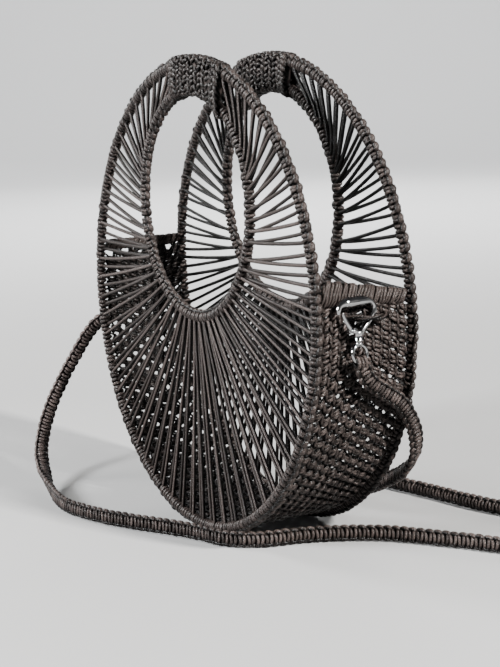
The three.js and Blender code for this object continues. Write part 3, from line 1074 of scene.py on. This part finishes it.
@dataclass
class Gusset:
    """The knotted band between the sides: square knots in staggered columns, open higher up, closed below."""

    radius: float = 128.7
    first: float = math.radians(84.9)
    half_width: float = 25.2
    spread: float = math.sin(math.radians(1.2))
    rows: int = 60
    columns: int = 10
    start: float = 0.3
    edge: float = 0.05
    cord: float = 1.08
    bar: float = 5.6
    bar_gap: float = 1.12
    bar_bend: float = 0.7
    bar_ends: float = 0.66
    bar_flat: float = 0.95
    bar_painted_shade_power: float = 1.6
    bar_sink: float = 0.2
    crown: float = 1.8
    outer_drop: float = 0.35
    outer_short: float = 0.12
    outer_turn: float = 0.25
    lining: float = 0.4
    slant: float = math.radians(26)
    unevenness: float = math.radians(22)
    closing: float = 1.1
    closed_from: Range = (-36.0, -16.0)
    loop_out: Range = (1.9, 0.6)
    loop_along: Range = (0.6, 2.0)
    loop_lift: Range = (0.55, 0.45)
    loop_cord: Range = (0.7, 0.25)
    side_loop_painted_shade: float = 0.7
    core_parting: Range = (0.9, 2.2)
    core_reach: float = 4.2
    core_cord: float = 0.7
    right_foot: Range = (12.4, 9.4)
    left_foot: float = 12.8
    window_y: Range = (-10.5, 1.5)
    window_z: Range = (-2.5, 10.0)
    held_rise: float = 4.0
    held_cord: float = 0.9
    held_part: float = 0.75
    held_twist: float = 2.5 * math.pi
    held_line: tuple[Range, ...] = (
        (129.6, -10.6), (132.2, -8.2), (135.4, -4.6), (137.6, -1.0), (138.0, 2.6), (136.0, 7.2),
        (132.4, 10.4), (129.4, 12.0),
    )
    tone: Range = (0.6, 1.45)
    lining_tone_with_painted_shade: Range = (0.15, 0.42)

    def build(self, centre: float, finish: bpy.types.Material) -> None:
        """Builds the knots' outer and inner sides, the inner side darkened by painted shade.

        Args:
            centre: Height of the rings' middle.
            finish: Finish of the cord.
        """
        angle, y, in_the_way = self._knots()
        outer = CordWork(Seed.GUSSET.value, self.tone)
        self._bars(outer, angle[~in_the_way], y[~in_the_way], 1.0, 7)
        self._side_loops(outer, angle[~in_the_way], y[~in_the_way])
        self._held_cords(outer)
        self._lift(outer, centre)
        fit(outer.make("gusset_knots", finish), Body.BAG, Slot.CORD, "gusset")
        # Painted shade: the knots on the band's inner side get a darker tone.
        inner = CordWork(Seed.LINING.value, self.lining_tone_with_painted_shade)
        self._bars(inner, angle, y, -1.0, 5)
        self._cores(inner, angle, y)
        self._lift(inner, centre)
        fit(inner.make("gusset_lining_knots", finish), Body.BAG, Slot.CORD)

    @staticmethod
    def _lift(work: CordWork, centre: float) -> None:
        """Lifts what was made around the rings' middle to its height."""
        for points in work.points:
            points[:, 2] += centre
        work.rest_on_floor()

    def _knots(self) -> tuple[Array, Array, Array]:
        """Sets out the knots.

        Returns:
            Angle and Y of each knot, and whether it is in the way of a clasp.
        """
        step = (TURN - 2 * self.first) / self.rows
        column, row = np.meshgrid(np.arange(self.columns), np.arange(-1, self.rows + 1), indexing="ij")
        angle = self.first + (row + self.start + 0.5 * (column % 2)) * step
        half = self.half_width - self.radius * np.cos(angle) * self.spread
        y = (column - (self.columns - 1) / 2) / (self.columns / 2 + self.edge) * half
        angle, y = angle.ravel(), y.ravel()
        height = self.radius * np.cos(angle)
        across = np.where(angle < math.pi, y, -y)
        open_y = (across > self.window_y[0]) & (across < self.window_y[1])
        open_z = (height > self.window_z[0]) & (height < self.window_z[1])
        front, back = self.right_foot
        sloped = front + (back - front) * (y / self.half_width + 1) / 2
        under = height < np.where(angle < math.pi, sloped, self.left_foot)
        return angle[under], y[under], (open_y & open_z)[under]

    def _lay(
        self,
        work: CordWork,
        angle: Array,
        course: tuple[Array, Array, Array | float],
        thickness: Array | float,
        side: float = 1.0,
        flat: float = 1.0,
        fade: Array | float = 1.0,
    ) -> None:
        """Lays a cord for each knot.

        Args:
            work: Where the cords go.
            angle: Angle of each knot.
            course: Run along the band from the knot, Y, and height off the band's middle surface.
            thickness: Half the cords' width.
            side: One on the outer side of the band, minus one on the inner.
            flat: Thickness of the cords, as a share of their width.
            fade: Share of the tone that is left at each point, which paints shade onto the cords.
        """
        along, y, lift = course
        turned = angle[:, None] + along / self.radius
        lines = on_ring(turned, self.radius + lift, y)
        work.lay(lines, thickness, on_ring(turned, side, 0.0), 5, flat, fade=fade)

    def _bars(self, work: CordWork, angle: Array, y: Array, side: float, steps: int) -> None:
        """The three bars that cross each knot. Their slant mirrors about the band's middle. Painted shade
        darkens their ends.

        Args:
            work: Where the cords go.
            angle: Angle of each knot.
            y: Y of each knot.
            side: One on the outer side of the band, minus one on the inner.
            steps: Points along a bar.
        """
        share, crown = crowned(steps, self.bar_bend)
        count = len(y)
        gap = self.bar_gap + self.closing * np.interp(self.radius * np.cos(angle), self.closed_from, (0, 1))
        for place in (-1, 0, 1):
            aside = abs(place)
            lean = np.where(y < 0, -1, 1) * self.slant + work.jitter(self.unevenness, count)
            lean = lean[:, None] * (1 + self.outer_turn * place)
            offset = place * gap[:, None] + work.jitter(0.6, count, 1)
            reach = self.bar * (1 - self.outer_short * aside + work.jitter(0.12, count, 1)) / 2
            across = y[:, None] + np.cos(lean) * share * reach
            along = offset + np.sin(lean) * share * reach
            height = self.crown - self.outer_drop * aside + work.jitter(0.55, count, 1)
            lift = height * crown - self.bar_sink
            lift = lift if side > 0 else -self.lining * lift
            lumps = 1 + 0.1 * np.cos(TURN * share + work.jitter(1.2, count, 1))
            thickness = self.cord * upwards(self.bar_ends, crown) * lumps
            course = (along, across, lift)
            # Painted shade: each bar darkens towards its ends, where it goes under.
            self._lay(work, angle, course, thickness, side, self.bar_flat, crown**self.bar_painted_shade_power)

    def _side_loops(self, work: CordWork, angle: Array, y: Array) -> None:
        """The loop at each side of a knot, darker overall and most at its ends, by painted shade.

        Args:
            work: Where the cords go.
            angle: Angle of each knot.
            y: Y of each knot.
        """
        share, crown = crowned(5, self.bar_bend)
        out, bow = self.loop_out
        ahead, reach = self.loop_along
        low, rise = self.loop_lift
        thin, swell = self.loop_cord
        for half in (-1, 1):
            across = y[:, None] + half * (out + bow * crown) + work.jitter(0.2, len(y), 1)
            along = half * ahead + share * reach + work.jitter(0.3, len(y), 1)
            course = (along, across, low + rise * crown)
            # Painted shade: the side loops stay darker than the bars, darkest at their ends.
            self._lay(work, angle, course, self.cord * (thin + swell * crown), fade=self.side_loop_painted_shade * crown)

    def _cores(self, work: CordWork, angle: Array, y: Array) -> None:
        """The two cords inside each knot, which part above and below it to join its neighbours.

        Args:
            work: Where the cords go.
            angle: Angle of each knot.
            y: Y of each knot.
        """
        share = np.linspace(-1, 1, 6)
        apart, parting = self.core_parting
        for half in (-1, 1):
            across = y[:, None] + half * (apart + parting * share**2)
            along = share * self.core_reach * np.ones_like(across)
            self._lay(work, angle, (along, across, np.zeros_like(across)), self.core_cord)

    def _held_cords(self, work: CordWork) -> None:
        """The pair of twisted cords that each clasp is hooked on to, at both ends of the band.

        Args:
            work: Where the cords go.
        """
        line = np.array([(x, y, self.held_rise) for x, y in self.held_line])
        line = evenly(smooth_line(line, 6), 26)
        twist = np.linspace(0, self.held_twist, len(line))
        along = unit(np.gradient(line, axis=0))
        sideways = unit(np.cross(along, UP))
        for end in (1, -1):
            half_turn = np.array([end, end, 1])
            for half in (0, math.pi):
                shift = np.cos(twist + half)[:, None] * sideways + np.sin(twist + half)[:, None] * UP
                work.lay(((line + self.held_part * shift) * half_turn)[None], self.held_cord, UP, 8)


@dataclass
class EdgeBinding:
    """The bar that closes an end of the gusset: cord wrapped closely around a bundle."""

    node: str
    front_shift: Range = (0.0, 0.0)
    back_shift: Range = (0.0, 0.0)
    core_inset: float = 1.3
    wrap_gap: float = 1.75
    wrap_ends: Range = (0.8, 0.6)
    wrap_inset: float = 0.8
    cord: float = 0.98
    cord_flat: float = 0.9
    squareness: float = 0.75
    slant: float = 2.2
    tone: Range = (0.65, 1.0)

    def build(self, finish: bpy.types.Material, seed: int) -> bpy.types.Object:
        """Builds the binding over its solid.

        Args:
            finish: Finish of the cord.
            seed: Start of the hand-made differences.

        Returns:
            The piece.
        """
        low, high = (np.array(corner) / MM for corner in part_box(self.node))
        middle, thick = (low[0] + high[0]) / 2, (high[0] - low[0]) / 2
        work = CordWork(seed, self.tone)

        def span(y: Array) -> tuple[Array, Array]:
            """Measures the bar's height.

            Args:
                y: Y of each place.

            Returns:
                Middle height and half height there.
            """
            share = (y - low[1]) / (high[1] - low[1])
            foot = low[2] + self.front_shift[0] + share * (self.back_shift[0] - self.front_shift[0])
            top = high[2] + self.front_shift[1] + share * (self.back_shift[1] - self.front_shift[1])
            return (top + foot) / 2, (top - foot) / 2

        ends = np.linspace(low[1], high[1], 9)
        height, half = span(ends)
        core = np.stack([np.full(9, middle), ends, height], 1)
        flat = (thick - self.core_inset) / float(half.mean() - self.core_inset)
        work.lay(core[None], half - self.core_inset, (1, 0, 0), 12, flat)
        y = np.arange(low[1] + self.wrap_ends[0], high[1] - self.wrap_ends[1], self.wrap_gap)
        y = y + work.jitter(0.25, len(y))
        turn = full_turn(14)
        height, half = (part[:, None] for part in span(y))
        swell = 1 + work.jitter(0.06, len(y), 1)
        x = (thick - self.wrap_inset * self.cord) * swell * rounded(np.cos(turn), self.squareness)
        z = (half - self.wrap_inset * self.cord) * swell * rounded(np.sin(turn), self.squareness)
        slant = self.slant + work.jitter(0.8, len(y), 1)
        lines = np.stack([middle + x, y[:, None] + slant * np.sin(turn), height + z], -1)
        outward = np.stack([x, np.zeros_like(x), z], -1)
        radius = self.cord + work.jitter(0.12, len(y), 1)
        work.lay(lines, radius, outward, 6, self.cord_flat, closed=True)
        return fit(work.make(f"{self.node}_binding", finish), Body.BAG, Slot.CORD, self.node)


@dataclass(frozen=True)
class ClaspPlace:
    """Where a clasp hangs: its own plane, with U across and V up from the swivel collar."""

    half_turn: int
    origin: Point = (135.4, -7.5, 127.97)
    turn: float = math.radians(4)
    tilt: float = math.radians(6)

    def axes(self) -> tuple[Array, Array, Array]:
        """Finds the clasp's directions.

        Returns:
            The U and V directions of its plane, and the one that it faces.
        """
        u = np.array([-math.sin(self.turn), math.cos(self.turn), 0.0])
        flat = np.array([-math.cos(self.turn), -math.sin(self.turn), 0.0])
        v = math.cos(self.tilt) * np.array([0, 0, 1.0]) + math.sin(self.tilt) * flat
        return self._turned(u), self._turned(v), self._turned(np.cross(u, v))

    def _turned(self, vector: Array) -> Array:
        """The vector, turned half around the bag for the left clasp."""
        return vector * np.array([self.half_turn, self.half_turn, 1])

    def place(self, points: Array) -> Array:
        """Puts points of the clasp into the frame.

        Args:
            points: U, V and how far off the clasp's plane.

        Returns:
            Points of the frame.
        """
        points = np.asarray(points, float)
        u, v, off = self.axes()
        start = self._turned(np.array(self.origin))
        return start + points[..., :1] * u + points[..., 1:2] * v + points[..., 2:] * off


@dataclass
class Clasp:
    """A swivel snap hook: bent hook, sprung gate on a pin, collar, and an oval eye for the strap."""

    place: ClaspPlace
    leg: float = 1.35
    crossbar: float = 2.8
    crossbar_at: Range = (0.68, 0.19)
    hook_flat: float = 1.12
    hook_line: tuple[Range, ...] = (
        (1.4, 0.6), (3.2, 3.0), (7.4, 6.8), (10.6, 10.6), (11.0, 13.4), (8.8, 16.2), (4.5, 17.0),
        (-2.0, 17.0), (-7.0, 16.9), (-10.0, 15.6), (-11.0, 13.2), (-11.1, 11.6),
    )
    collar: tuple[Range, ...] = (
        (-3.0, 2.1), (-2.8, 2.5), (-2.2, 2.6), (-1.9, 2.3), (1.2, 2.3), (1.6, 2.6), (2.2, 2.55),
        (2.6, 2.2), (2.9, 1.4),
    )
    hinge: Range = (-2.9, 2.9)
    cheek: tuple[Range, ...] = ((1.25, 1.35), (1.35, 1.5), (1.9, 1.5), (2.05, 1.2))
    rivet: tuple[Range, ...] = ((-2.3, 0.45), (-2.2, 0.6), (2.2, 0.6), (2.3, 0.45))
    stem: tuple[Point, ...] = ((0.2, 1.2, 1.6), (-1.2, 1.9, 1.65), (-2.9, 2.9, 1.65))
    stem_radius: float = 1.0
    stem_flat: float = 0.6
    nose: Range = (-8.2, 12.2)
    nose_taper: Range = (0.04, 0.45)
    gate_bow: float = 0.9
    gate_ends: Range = (1.1, 1.8)
    gate_radius: float = 1.3
    gate_thinning: float = 0.3
    gate_flat: float = 0.8
    stud_at: Range = (0.62, 0.8)
    stud: tuple[Range, ...] = ((0.3, 0.55), (1.0, 0.5), (1.5, 0.62), (1.75, 0.35))
    eye_radius: float = 4.4
    eye_wire: float = 0.9
    eye_centre: float = -9.2
    post: tuple[Range, ...] = ((-5.2, 1.2), (-4.6, 1.9), (-3.8, 2.1), (-3.35, 1.8), (-3.2, 1.3), (-1.1, 1.3))

    def build(self, finish: bpy.types.Material) -> None:
        """Builds the right clasp's three pieces.

        Args:
            finish: Finish of the metal.
        """
        hook = CordWork(Seed.HOOK.value)
        self._hook(hook)
        fit(hook.make("right_snap_hook", finish), Body.BAG, Slot.CHROME, "right_hook")
        gate = CordWork(Seed.GATE.value)
        self._gate(gate)
        fit(gate.make("right_sprung_gate", finish), Body.GATE, Slot.CHROME, "right_gate")
        eye = CordWork(Seed.EYE.value)
        self._eye(eye)
        fit(eye.make("right_strap_eye", finish), Body.BAG, Slot.CHROME, "right_swivel_eye")

    def build_as_one(self, finish: bpy.types.Material) -> None:
        """Builds the left clasp in one piece.

        Args:
            finish: Finish of the metal.
        """
        work = CordWork(Seed.LEFT_CLASP.value)
        self._hook(work)
        self._gate(work)
        self._eye(work)
        fit(work.make("left_snap_hook", finish), Body.BAG, Slot.CHROME, "left_clasp")

    def _sweep(
        self, work: CordWork, line: Array, radius: Array | float, sides: int, flat: float = 1.0,
    ) -> None:
        """Sweeps a round or flattened bar along a line of the clasp's plane."""
        _, _, off = self.place.axes()
        work.lay(self.place.place(line)[None], radius, off, sides, flat)

    def _turned(self, work: CordWork, line: list[Point], outline: tuple[Range, ...], sides: int) -> None:
        """A turned part along a straight line.

        Args:
            work: Where the metal goes.
            line: Points along the part's middle.
            outline: A place and a radius for each point.
            sides: Number of sides of its section.
        """
        u, _, _ = self.place.axes()
        radii = np.array([radius for _, radius in outline])
        work.lay(self.place.place(np.array(line))[None], radii, u, sides)

    def _hook(self, work: CordWork) -> None:
        """The bent hook with its collar, hinge cheeks and rivet.

        Args:
            work: Where the metal goes.
        """
        line = np.array([(u, v, 0.0) for u, v in self.hook_line])
        line = evenly(smooth_line(line, 12), 90)
        share = np.linspace(0, 1, 90)
        middle, reach = self.crossbar_at
        bow = np.exp(-(((share - middle) / reach) ** 4))
        tip, thinnest = self.nose_taper
        taper = np.clip((1 - share) / tip, thinnest, 1) ** 0.5
        radius = (self.leg + (self.crossbar - self.leg) * bow) * taper
        self._sweep(work, line, radius, 18, self.hook_flat)
        self._turned(work, [(0.0, v, 0.0) for v, _ in self.collar], self.collar, 28)
        for side in (-1, 1):
            self._turned(work, [(*self.hinge, side * off) for off, _ in self.cheek], self.cheek, 20)
            stem = evenly(smooth_line(np.array(self.stem) * (1, 1, side), 6), 10)
            self._sweep(work, stem, self.stem_radius, 10, self.stem_flat)
        self._turned(work, [(*self.hinge, off) for off, _ in self.rivet], self.rivet, 14)

    def _gate(self, work: CordWork) -> None:
        """The sprung gate, from its pin to the hook's nose, with a thumb stud.

        Args:
            work: Where the metal goes.
        """
        hinge, nose = np.array(self.hinge), np.array(self.nose)
        along = unit(nose - hinge)
        share = np.linspace(0, 1, 24)
        behind, longer = self.gate_ends
        line = hinge - along * behind + (nose - hinge + along * longer) * share[:, None]
        aside = np.array([-along[1], along[0]])
        line = line + aside * (self.gate_bow * np.sin(share * math.pi))[:, None]
        line = np.column_stack([line, np.zeros(24)])
        ends = np.sqrt(np.clip(1 - (2 * share - 1) ** 16, 0.03, 1))
        radius = (self.gate_radius - self.gate_thinning * share) * ends
        self._sweep(work, line, radius, 16, self.gate_flat)
        part, rise = self.stud_at
        root = hinge + (nose - hinge) * part + aside * self.gate_bow * rise
        stud = np.array([(*(root + aside * reach), 0.0) for reach, _ in self.stud])
        self._sweep(work, stud, np.array([radius for _, radius in self.stud]), 14)

    def _eye(self, work: CordWork) -> None:
        """The round eye and the post that turns in the collar.

        Args:
            work: Where the metal goes.
        """
        turn = full_turn(48)
        rise = self.eye_centre + self.eye_radius * np.cos(turn)
        ring = np.stack([self.eye_radius * np.sin(turn), rise, 0 * turn], 1)
        _, _, off = self.place.axes()
        work.lay(self.place.place(ring)[None], self.eye_wire, off, 14, closed=True)
        self._turned(work, [(0.0, v, 0.0) for v, _ in self.post], self.post, 28)


@dataclass
class Strap:
    """The shoulder strap: a flat band of square knots over a core, with a loop through each clasp's eye.

    Its route gives X, Y and Z, and how upright the strap stands there, from nought, flat, to one, on edge.
    Painted light makes it a little lighter towards its left end.
    """

    width: float = 9.6
    knot: float = 4.75
    cord: float = 1.12
    cord_flat: float = 0.92
    bar_reach: float = 2.5
    bar_bow: float = 0.6
    bar_slant: float = 0.25
    bar_lift: Range = (0.35, 1.15)
    bar_ends: float = 0.7
    strap_bar_painted_shade: float = 0.3
    rail: float = 1.75
    rail_flat: float = 0.74
    rail_ends: float = 0.5
    rail_bend: float = 0.65
    rail_reach: float = 0.53
    rail_out: Range = (2.45, 1.0)
    rail_lean: float = 0.5
    core_half: float = 2.4
    core_flat: float = 0.36
    left_painted_light: float = 1.2
    left_painted_light_span: Range = (0.82, 0.88)
    end_cord: float = 1.08
    end_gap: float = 2.1
    end_reach: float = 1.1
    end_long: float = 1.25
    end_drop: float = 0.5
    end_sag: float = 0.22
    route: tuple[tuple[float, float, float, float], ...] = (
        (136.4, -6.3, 112.1, 0.0), (135.2, -1.8, 104.6, 0.0), (132.0, 8.8, 97.2, 0.1),
        (128.8, 21.4, 88.6, 0.2), (125.6, 30.6, 77.2, 0.3), (121.2, 36.4, 66.0, 0.4),
        (114.4, 39.8, 54.4, 0.5), (102.6, 41.6, 44.0, 0.7), (83.0, 43.6, 34.0, 0.8),
        (57.0, 46.0, 23.0, 1.0), (28.0, 51.0, 12.5, 1.0), (4.0, 57.0, 6.4, 1.0), (-17.0, 65.0, 5.0, 1.0),
        (-30.0, 79.0, 5.0, 1.0), (-26.0, 92.0, 5.0, 1.0), (-8.0, 98.5, 5.0, 1.0), (12.0, 102.5, 5.0, 1.0),
        (36.0, 108.5, 5.0, 1.0), (72.0, 116.5, 5.0, 1.0), (108.0, 130.0, 5.0, 1.0),
        (138.0, 140.0, 5.0, 1.0), (166.0, 132.0, 5.0, 1.0), (173.0, 111.0, 5.0, 1.0),
        (158.0, 91.0, 5.0, 1.0), (116.0, 61.5, 5.0, 1.0), (85.0, 36.5, 5.0, 1.0), (66.0, 4.0, 5.0, 1.0),
        (58.0, -24.0, 5.0, 1.0), (46.0, -38.5, 5.0, 1.0), (22.0, -48.0, 5.0, 1.0),
        (-34.0, -78.0, 5.0, 1.0), (-68.0, -86.0, 5.0, 1.0), (-104.0, -80.5, 6.0, 0.75),
        (-130.0, -74.0, 11.3, 0.2), (-151.0, -66.5, 20.5, 0.08), (-166.0, -52.5, 42.1, 0.1),
        (-168.0, -33.8, 71.8, 0.2), (-160.0, -21.0, 93.5, 0.35), (-150.0, -6.5, 104.5, 0.25),
        (-138.6, 6.0, 112.3, 0.0),
    )

    def build(self, clasps: tuple[Clasp, Clasp], finish: bpy.types.Material) -> bpy.types.Object:
        """Args:
            clasps: The clasps at its two ends.
            finish: Finish of the cord.

        Returns:
            The piece.
        """
        line = smooth_line(np.array(self.route), 16)
        length = float(np.linalg.norm(np.diff(line[:, :3], axis=0), axis=1).sum())
        knots = round(length / self.knot)
        fine = evenly(line, 4 * knots + 1)
        work = CordWork(Seed.STRAP.value)
        middle, along, across, off = self._axes(fine)
        work.lay(middle[None, ::2], self.core_half, off[None, ::2], 8, self.core_flat)
        centres = slice(2, None, 4)
        self._knots(work, middle[centres], along[centres], across[centres], off[centres])
        for clasp in clasps:
            self._end_loop(work, clasp)
        work.rest_on_floor()
        piece = work.make("knotted_strap", finish)
        fit(piece, Body.BAG, Slot.STRAP, "strap")
        return piece

    @staticmethod
    def _axes(line: Array) -> tuple[Array, Array, Array, Array]:
        """Finds how the strap lies along its route.

        Args:
            line: Points of the route.

        Returns:
            Points of the middle line, and the directions along it, across its width and off its broad side.
        """
        middle, upright = line[:, :3], line[:, 3:]
        along = unit(np.gradient(middle, axis=0))
        half = np.where(np.arange(len(line)) < len(line) / 2, 1, -1)[:, None]
        wide = np.hstack([np.zeros_like(upright), half * (1 - upright), upright])
        across = unit(wide - (wide * along).sum(1, keepdims=True) * along)
        return middle, along, across, np.cross(along, across)

    def _knots(self, work: CordWork, middle: Array, along: Array, across: Array, off: Array) -> None:
        """One square knot at each place: two bars on either broad side and a loop at either edge.

        Args:
            work: Where the cords go.
            middle: Points of the strap's middle line.
            along: Direction along the strap at each.
            across: Direction across its width.
            off: Direction off its broad side.
        """
        count = len(middle)

        def lines(run: Array, wide: Array, lift: Array) -> Array:
            """Sets out points from each knot.

            Args:
                run: How far along the strap.
                wide: How far across it.
                lift: How far off its broad side.

            Returns:
                The points, shaped (knots, points, 3).
            """
            parts = np.broadcast_arrays(run, wide, lift)
            axes = (along, across, off)
            return middle[:, None] + sum(part[..., None] * axis[:, None] for part, axis in zip(parts, axes))

        # Painted light: the cords' tone rises towards the strap's left end.
        tone_with_painted_light = 1 + self.left_painted_light * np.interp(np.linspace(0, 1, count), self.left_painted_light_span, (0, 1))[:, None]
        share, bow = crowned(7, self.rail_bend)
        crown = np.sqrt(np.clip(1 - (0.95 * share) ** 2, 0, 1))
        base, rise = self.bar_lift
        for broad in (-1, 1):
            for half in (-1, 1):
                run = half * self.knot / 4 + self.bar_bow * (share**2 - 0.4) + self.bar_slant * half * share
                run = run + work.jitter(0.15, count, 1)
                lift = broad * (base + (rise + work.jitter(0.15, count, 1)) * crown)
                bars = lines(run, share * self.bar_reach, lift)
                thickness = self.cord * upwards(self.bar_ends, crown)
                facing = broad * off[:, None] * np.ones((1, 7, 1))
                # Painted shade darkens each bar towards its ends, on top of the painted light of the left
                # end.
                fade = tone_with_painted_light * upwards(self.strap_bar_painted_shade, crown)
                work.lay(bars, thickness, facing, 6, self.cord_flat, fade=fade)
        base, rise = self.rail_out
        for edge in (-1, 1):
            run = share * self.rail_reach * self.knot + work.jitter(0.2, count, 1)
            wide = edge * (base + (rise + work.jitter(0.15, count, 1)) * bow)
            lift = work.jitter(0.25, count, 1) + self.rail_lean * edge * share
            loops = lines(run, wide, lift)
            thickness = self.rail * upwards(self.rail_ends, bow)
            facing = edge * across[:, None] * np.ones((1, 7, 1))
            # The edge loops carry the same painted light towards the left end.
            work.lay(loops, thickness, facing, 8, self.rail_flat, fade=tone_with_painted_light)

    def _end_loop(self, work: CordWork, clasp: Clasp) -> None:
        """Cords of the strap's end, taken round the foot of a clasp's eye.

        Args:
            work: Where the cords go.
            clasp: The clasp.
        """
        turn = full_turn(20)
        reach = clasp.eye_wire + self.end_reach
        foot = clasp.eye_centre - clasp.eye_radius
        for shift in (-self.end_gap, 0.0, self.end_gap):
            middle = foot - self.end_drop + abs(shift) * self.end_sag
            rise = middle + self.end_long * reach * np.cos(turn)
            loop = np.stack([np.full(20, shift), rise, reach * np.sin(turn)], 1)
            outward = np.stack([np.zeros(20), np.cos(turn), np.sin(turn)], 1)
            facing = clasp.place.place(outward) - clasp.place.place(np.zeros(3))
            work.lay(clasp.place.place(loop)[None], self.end_cord, facing[None], 8, closed=True)


@dataclass(frozen=True)
class PhotoCamera:
    """The camera at the photograph's viewing angle, from a fit of the rings."""

    place: Point = (826.95, -449.16, 281.22)
    yaw: float = math.radians(61.205)
    pitch: float = math.radians(10.423)
    roll: float = math.radians(-1.672)
    lens: float = 90.15
    sensor: float = 36.0

    def build(self) -> None:
        """Sets the camera up."""
        data = bpy.data.cameras.new("photo_camera")
        data.lens = self.lens
        data.sensor_width = self.sensor
        reach = math.cos(self.pitch)
        back = np.array([math.sin(self.yaw) * reach, -math.cos(self.yaw) * reach, math.sin(self.pitch)])
        level = np.array([math.cos(self.yaw), math.sin(self.yaw), 0.0])
        upright = np.cross(back, level)
        right = math.cos(self.roll) * level + math.sin(self.roll) * upright
        up = math.cos(self.roll) * upright - math.sin(self.roll) * level
        camera = add_object("photo_camera", data)
        stand(camera, np.array(self.place) * MM, right, up, back)
        bpy.context.scene.camera = camera


@dataclass(frozen=True)
class Lamp:
    """A soft lamp, the point that it is aimed at, and whether it shows in gloss."""

    name: str
    place: Point
    aim: Point
    width: float
    power: float
    colour: Colour
    gleams: bool = True

    def hang(self) -> None:
        """Hangs the lamp."""
        data = bpy.data.lights.new(self.name, "AREA")
        data.size = self.width
        data.energy = self.power
        data.color = self.colour
        back = unit(np.array(self.place) - np.array(self.aim))
        level = unit(np.cross(UP, back))
        hung = add_object(self.name, data)
        hung.visible_glossy = self.gleams
        stand(hung, self.place, level, np.cross(back, level), back)


@dataclass
class Studio:
    """A pale sheet that sweeps up all round, a high key lamp, softer lamps and the light of the room."""

    floor_radius: float = 2.2
    sweep: float = 0.9
    wall: float = 0.9
    sink: float = 0.0001
    sides: int = 96
    room: float = 0.10
    room_colour: Colour = (0.93, 0.95, 1.0)
    lamps: tuple[Lamp, ...] = (
        Lamp("key", (1.72, 0.5, 1.18), (0.0, 0.0, 0.12), 0.14, 400.0, (1.0, 0.975, 0.94)),
        Lamp("fill", (-1.45, -1.05, 1.3), (0.0, 0.0, 0.12), 0.7, 130.0, (1.0, 0.99, 0.97)),
        Lamp("front", (0.0, -1.8, 0.9), (0.0, 0.0, 0.1), 0.4, 285.0, (0.98, 0.99, 1.0)),
        Lamp("back_left", (-1.6, 1.1, 0.95), (0.0, 0.0, 0.1), 0.9, 90.0, (1.0, 0.99, 0.97), False),
        Lamp("backdrop", (-1.3, 0.75, 1.3), (-2.5, 1.4, 0.1), 1.3, 190.0, (0.97, 0.98, 1.0)),
    )

    def build(self, finish: bpy.types.Material) -> None:
        """Sets the stage.

        Args:
            finish: Finish of the sheet.
        """
        self._sheet(finish)
        for lamp in self.lamps:
            lamp.hang()
        world = bpy.data.worlds.new("room")
        world.use_nodes = True
        back = world.node_tree.nodes["Background"]
        back.inputs["Color"].default_value = (*self.room_colour, 1.0)
        back.inputs["Strength"].default_value = self.room
        bpy.context.scene.world = world

    def _sheet(self, finish: bpy.types.Material) -> bpy.types.Object:
        """Makes the sheet: a flat disc that turns up into a round wall.

        Args:
            finish: Finish of the sheet.

        Returns:
            The sheet.
        """
        turn = np.linspace(0, math.pi / 2, 13)
        radii = [0.0, *(self.floor_radius + self.sweep * np.sin(turn)), self.floor_radius + self.sweep]
        heights = [0.0, *(self.sweep * (1 - np.cos(turn))), self.sweep + self.wall]
        points = [
            (radius * math.cos(angle), radius * math.sin(angle), height - self.sink)
            for radius, height in zip(radii, heights) for angle in full_turn(self.sides)
        ]
        faces = []
        for ring in range(len(radii) - 1):
            start, end = ring * self.sides, (ring + 1) * self.sides
            for side in range(self.sides):
                after = (side + 1) % self.sides
                faces.append((start + side, start + after, end + after, end + side))
        mesh = bpy.data.meshes.new("pale_sheet")
        mesh.from_pydata(points, [], faces)
        mesh.polygons.foreach_set("use_smooth", [True] * len(faces))
        mesh.materials.append(finish)
        return add_object("pale_sheet", mesh)


def main() -> None:
    """Builds every piece in order."""
    logging.basicConfig(level=logging.INFO, format="%(message)s")
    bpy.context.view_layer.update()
    PhotoCamera().build()
    cord = CordFinish().material()
    strap_cord = CordFinish(name="strap_cord", light=(0.045, 0.0353, 0.0323), plait=1.3).material()
    chrome = ChromeFinish().material()
    right, left = Clasp(ClaspPlace(1)), Clasp(ClaspPlace(-1))
    Strap().build((right, left), strap_cord)

    faces = (Face("front", -1), Face("back", 1))
    lashing = HandleLashing()
    side_pieces = (
        (RingCover("outer_ring", OUTER_RADIUS, 0.0, Spine.OUTWARD, 160, lashing.bared), Seed.OUTER_RING),
        (RingCover("hand_ring", HAND_RADIUS, HAND_RISE, Spine.INWARD, 80, lashing.bared), Seed.HAND_RING),
        (StrandWeb(), Seed.STRANDS),
        (lashing, Seed.LASHING),
    )
    for number, face in enumerate(faces):
        for piece, seed in side_pieces:
            piece.build(face, cord, seed.value + number)
    Gusset().build(faces[0].centre, cord)
    right_bar = EdgeBinding("right_edge_bar", front_shift=(-2.4, 4.2), back_shift=(-5.0, -4.8))
    right_bar.build(cord, Seed.RIGHT_BAR.value)
    EdgeBinding("left_edge_bar").build(cord, Seed.LEFT_BAR.value)
    right.build(chrome)
    left.build_as_one(chrome)
    Studio().build(FloorFinish().material())


if __name__ == "__main__":
    main()
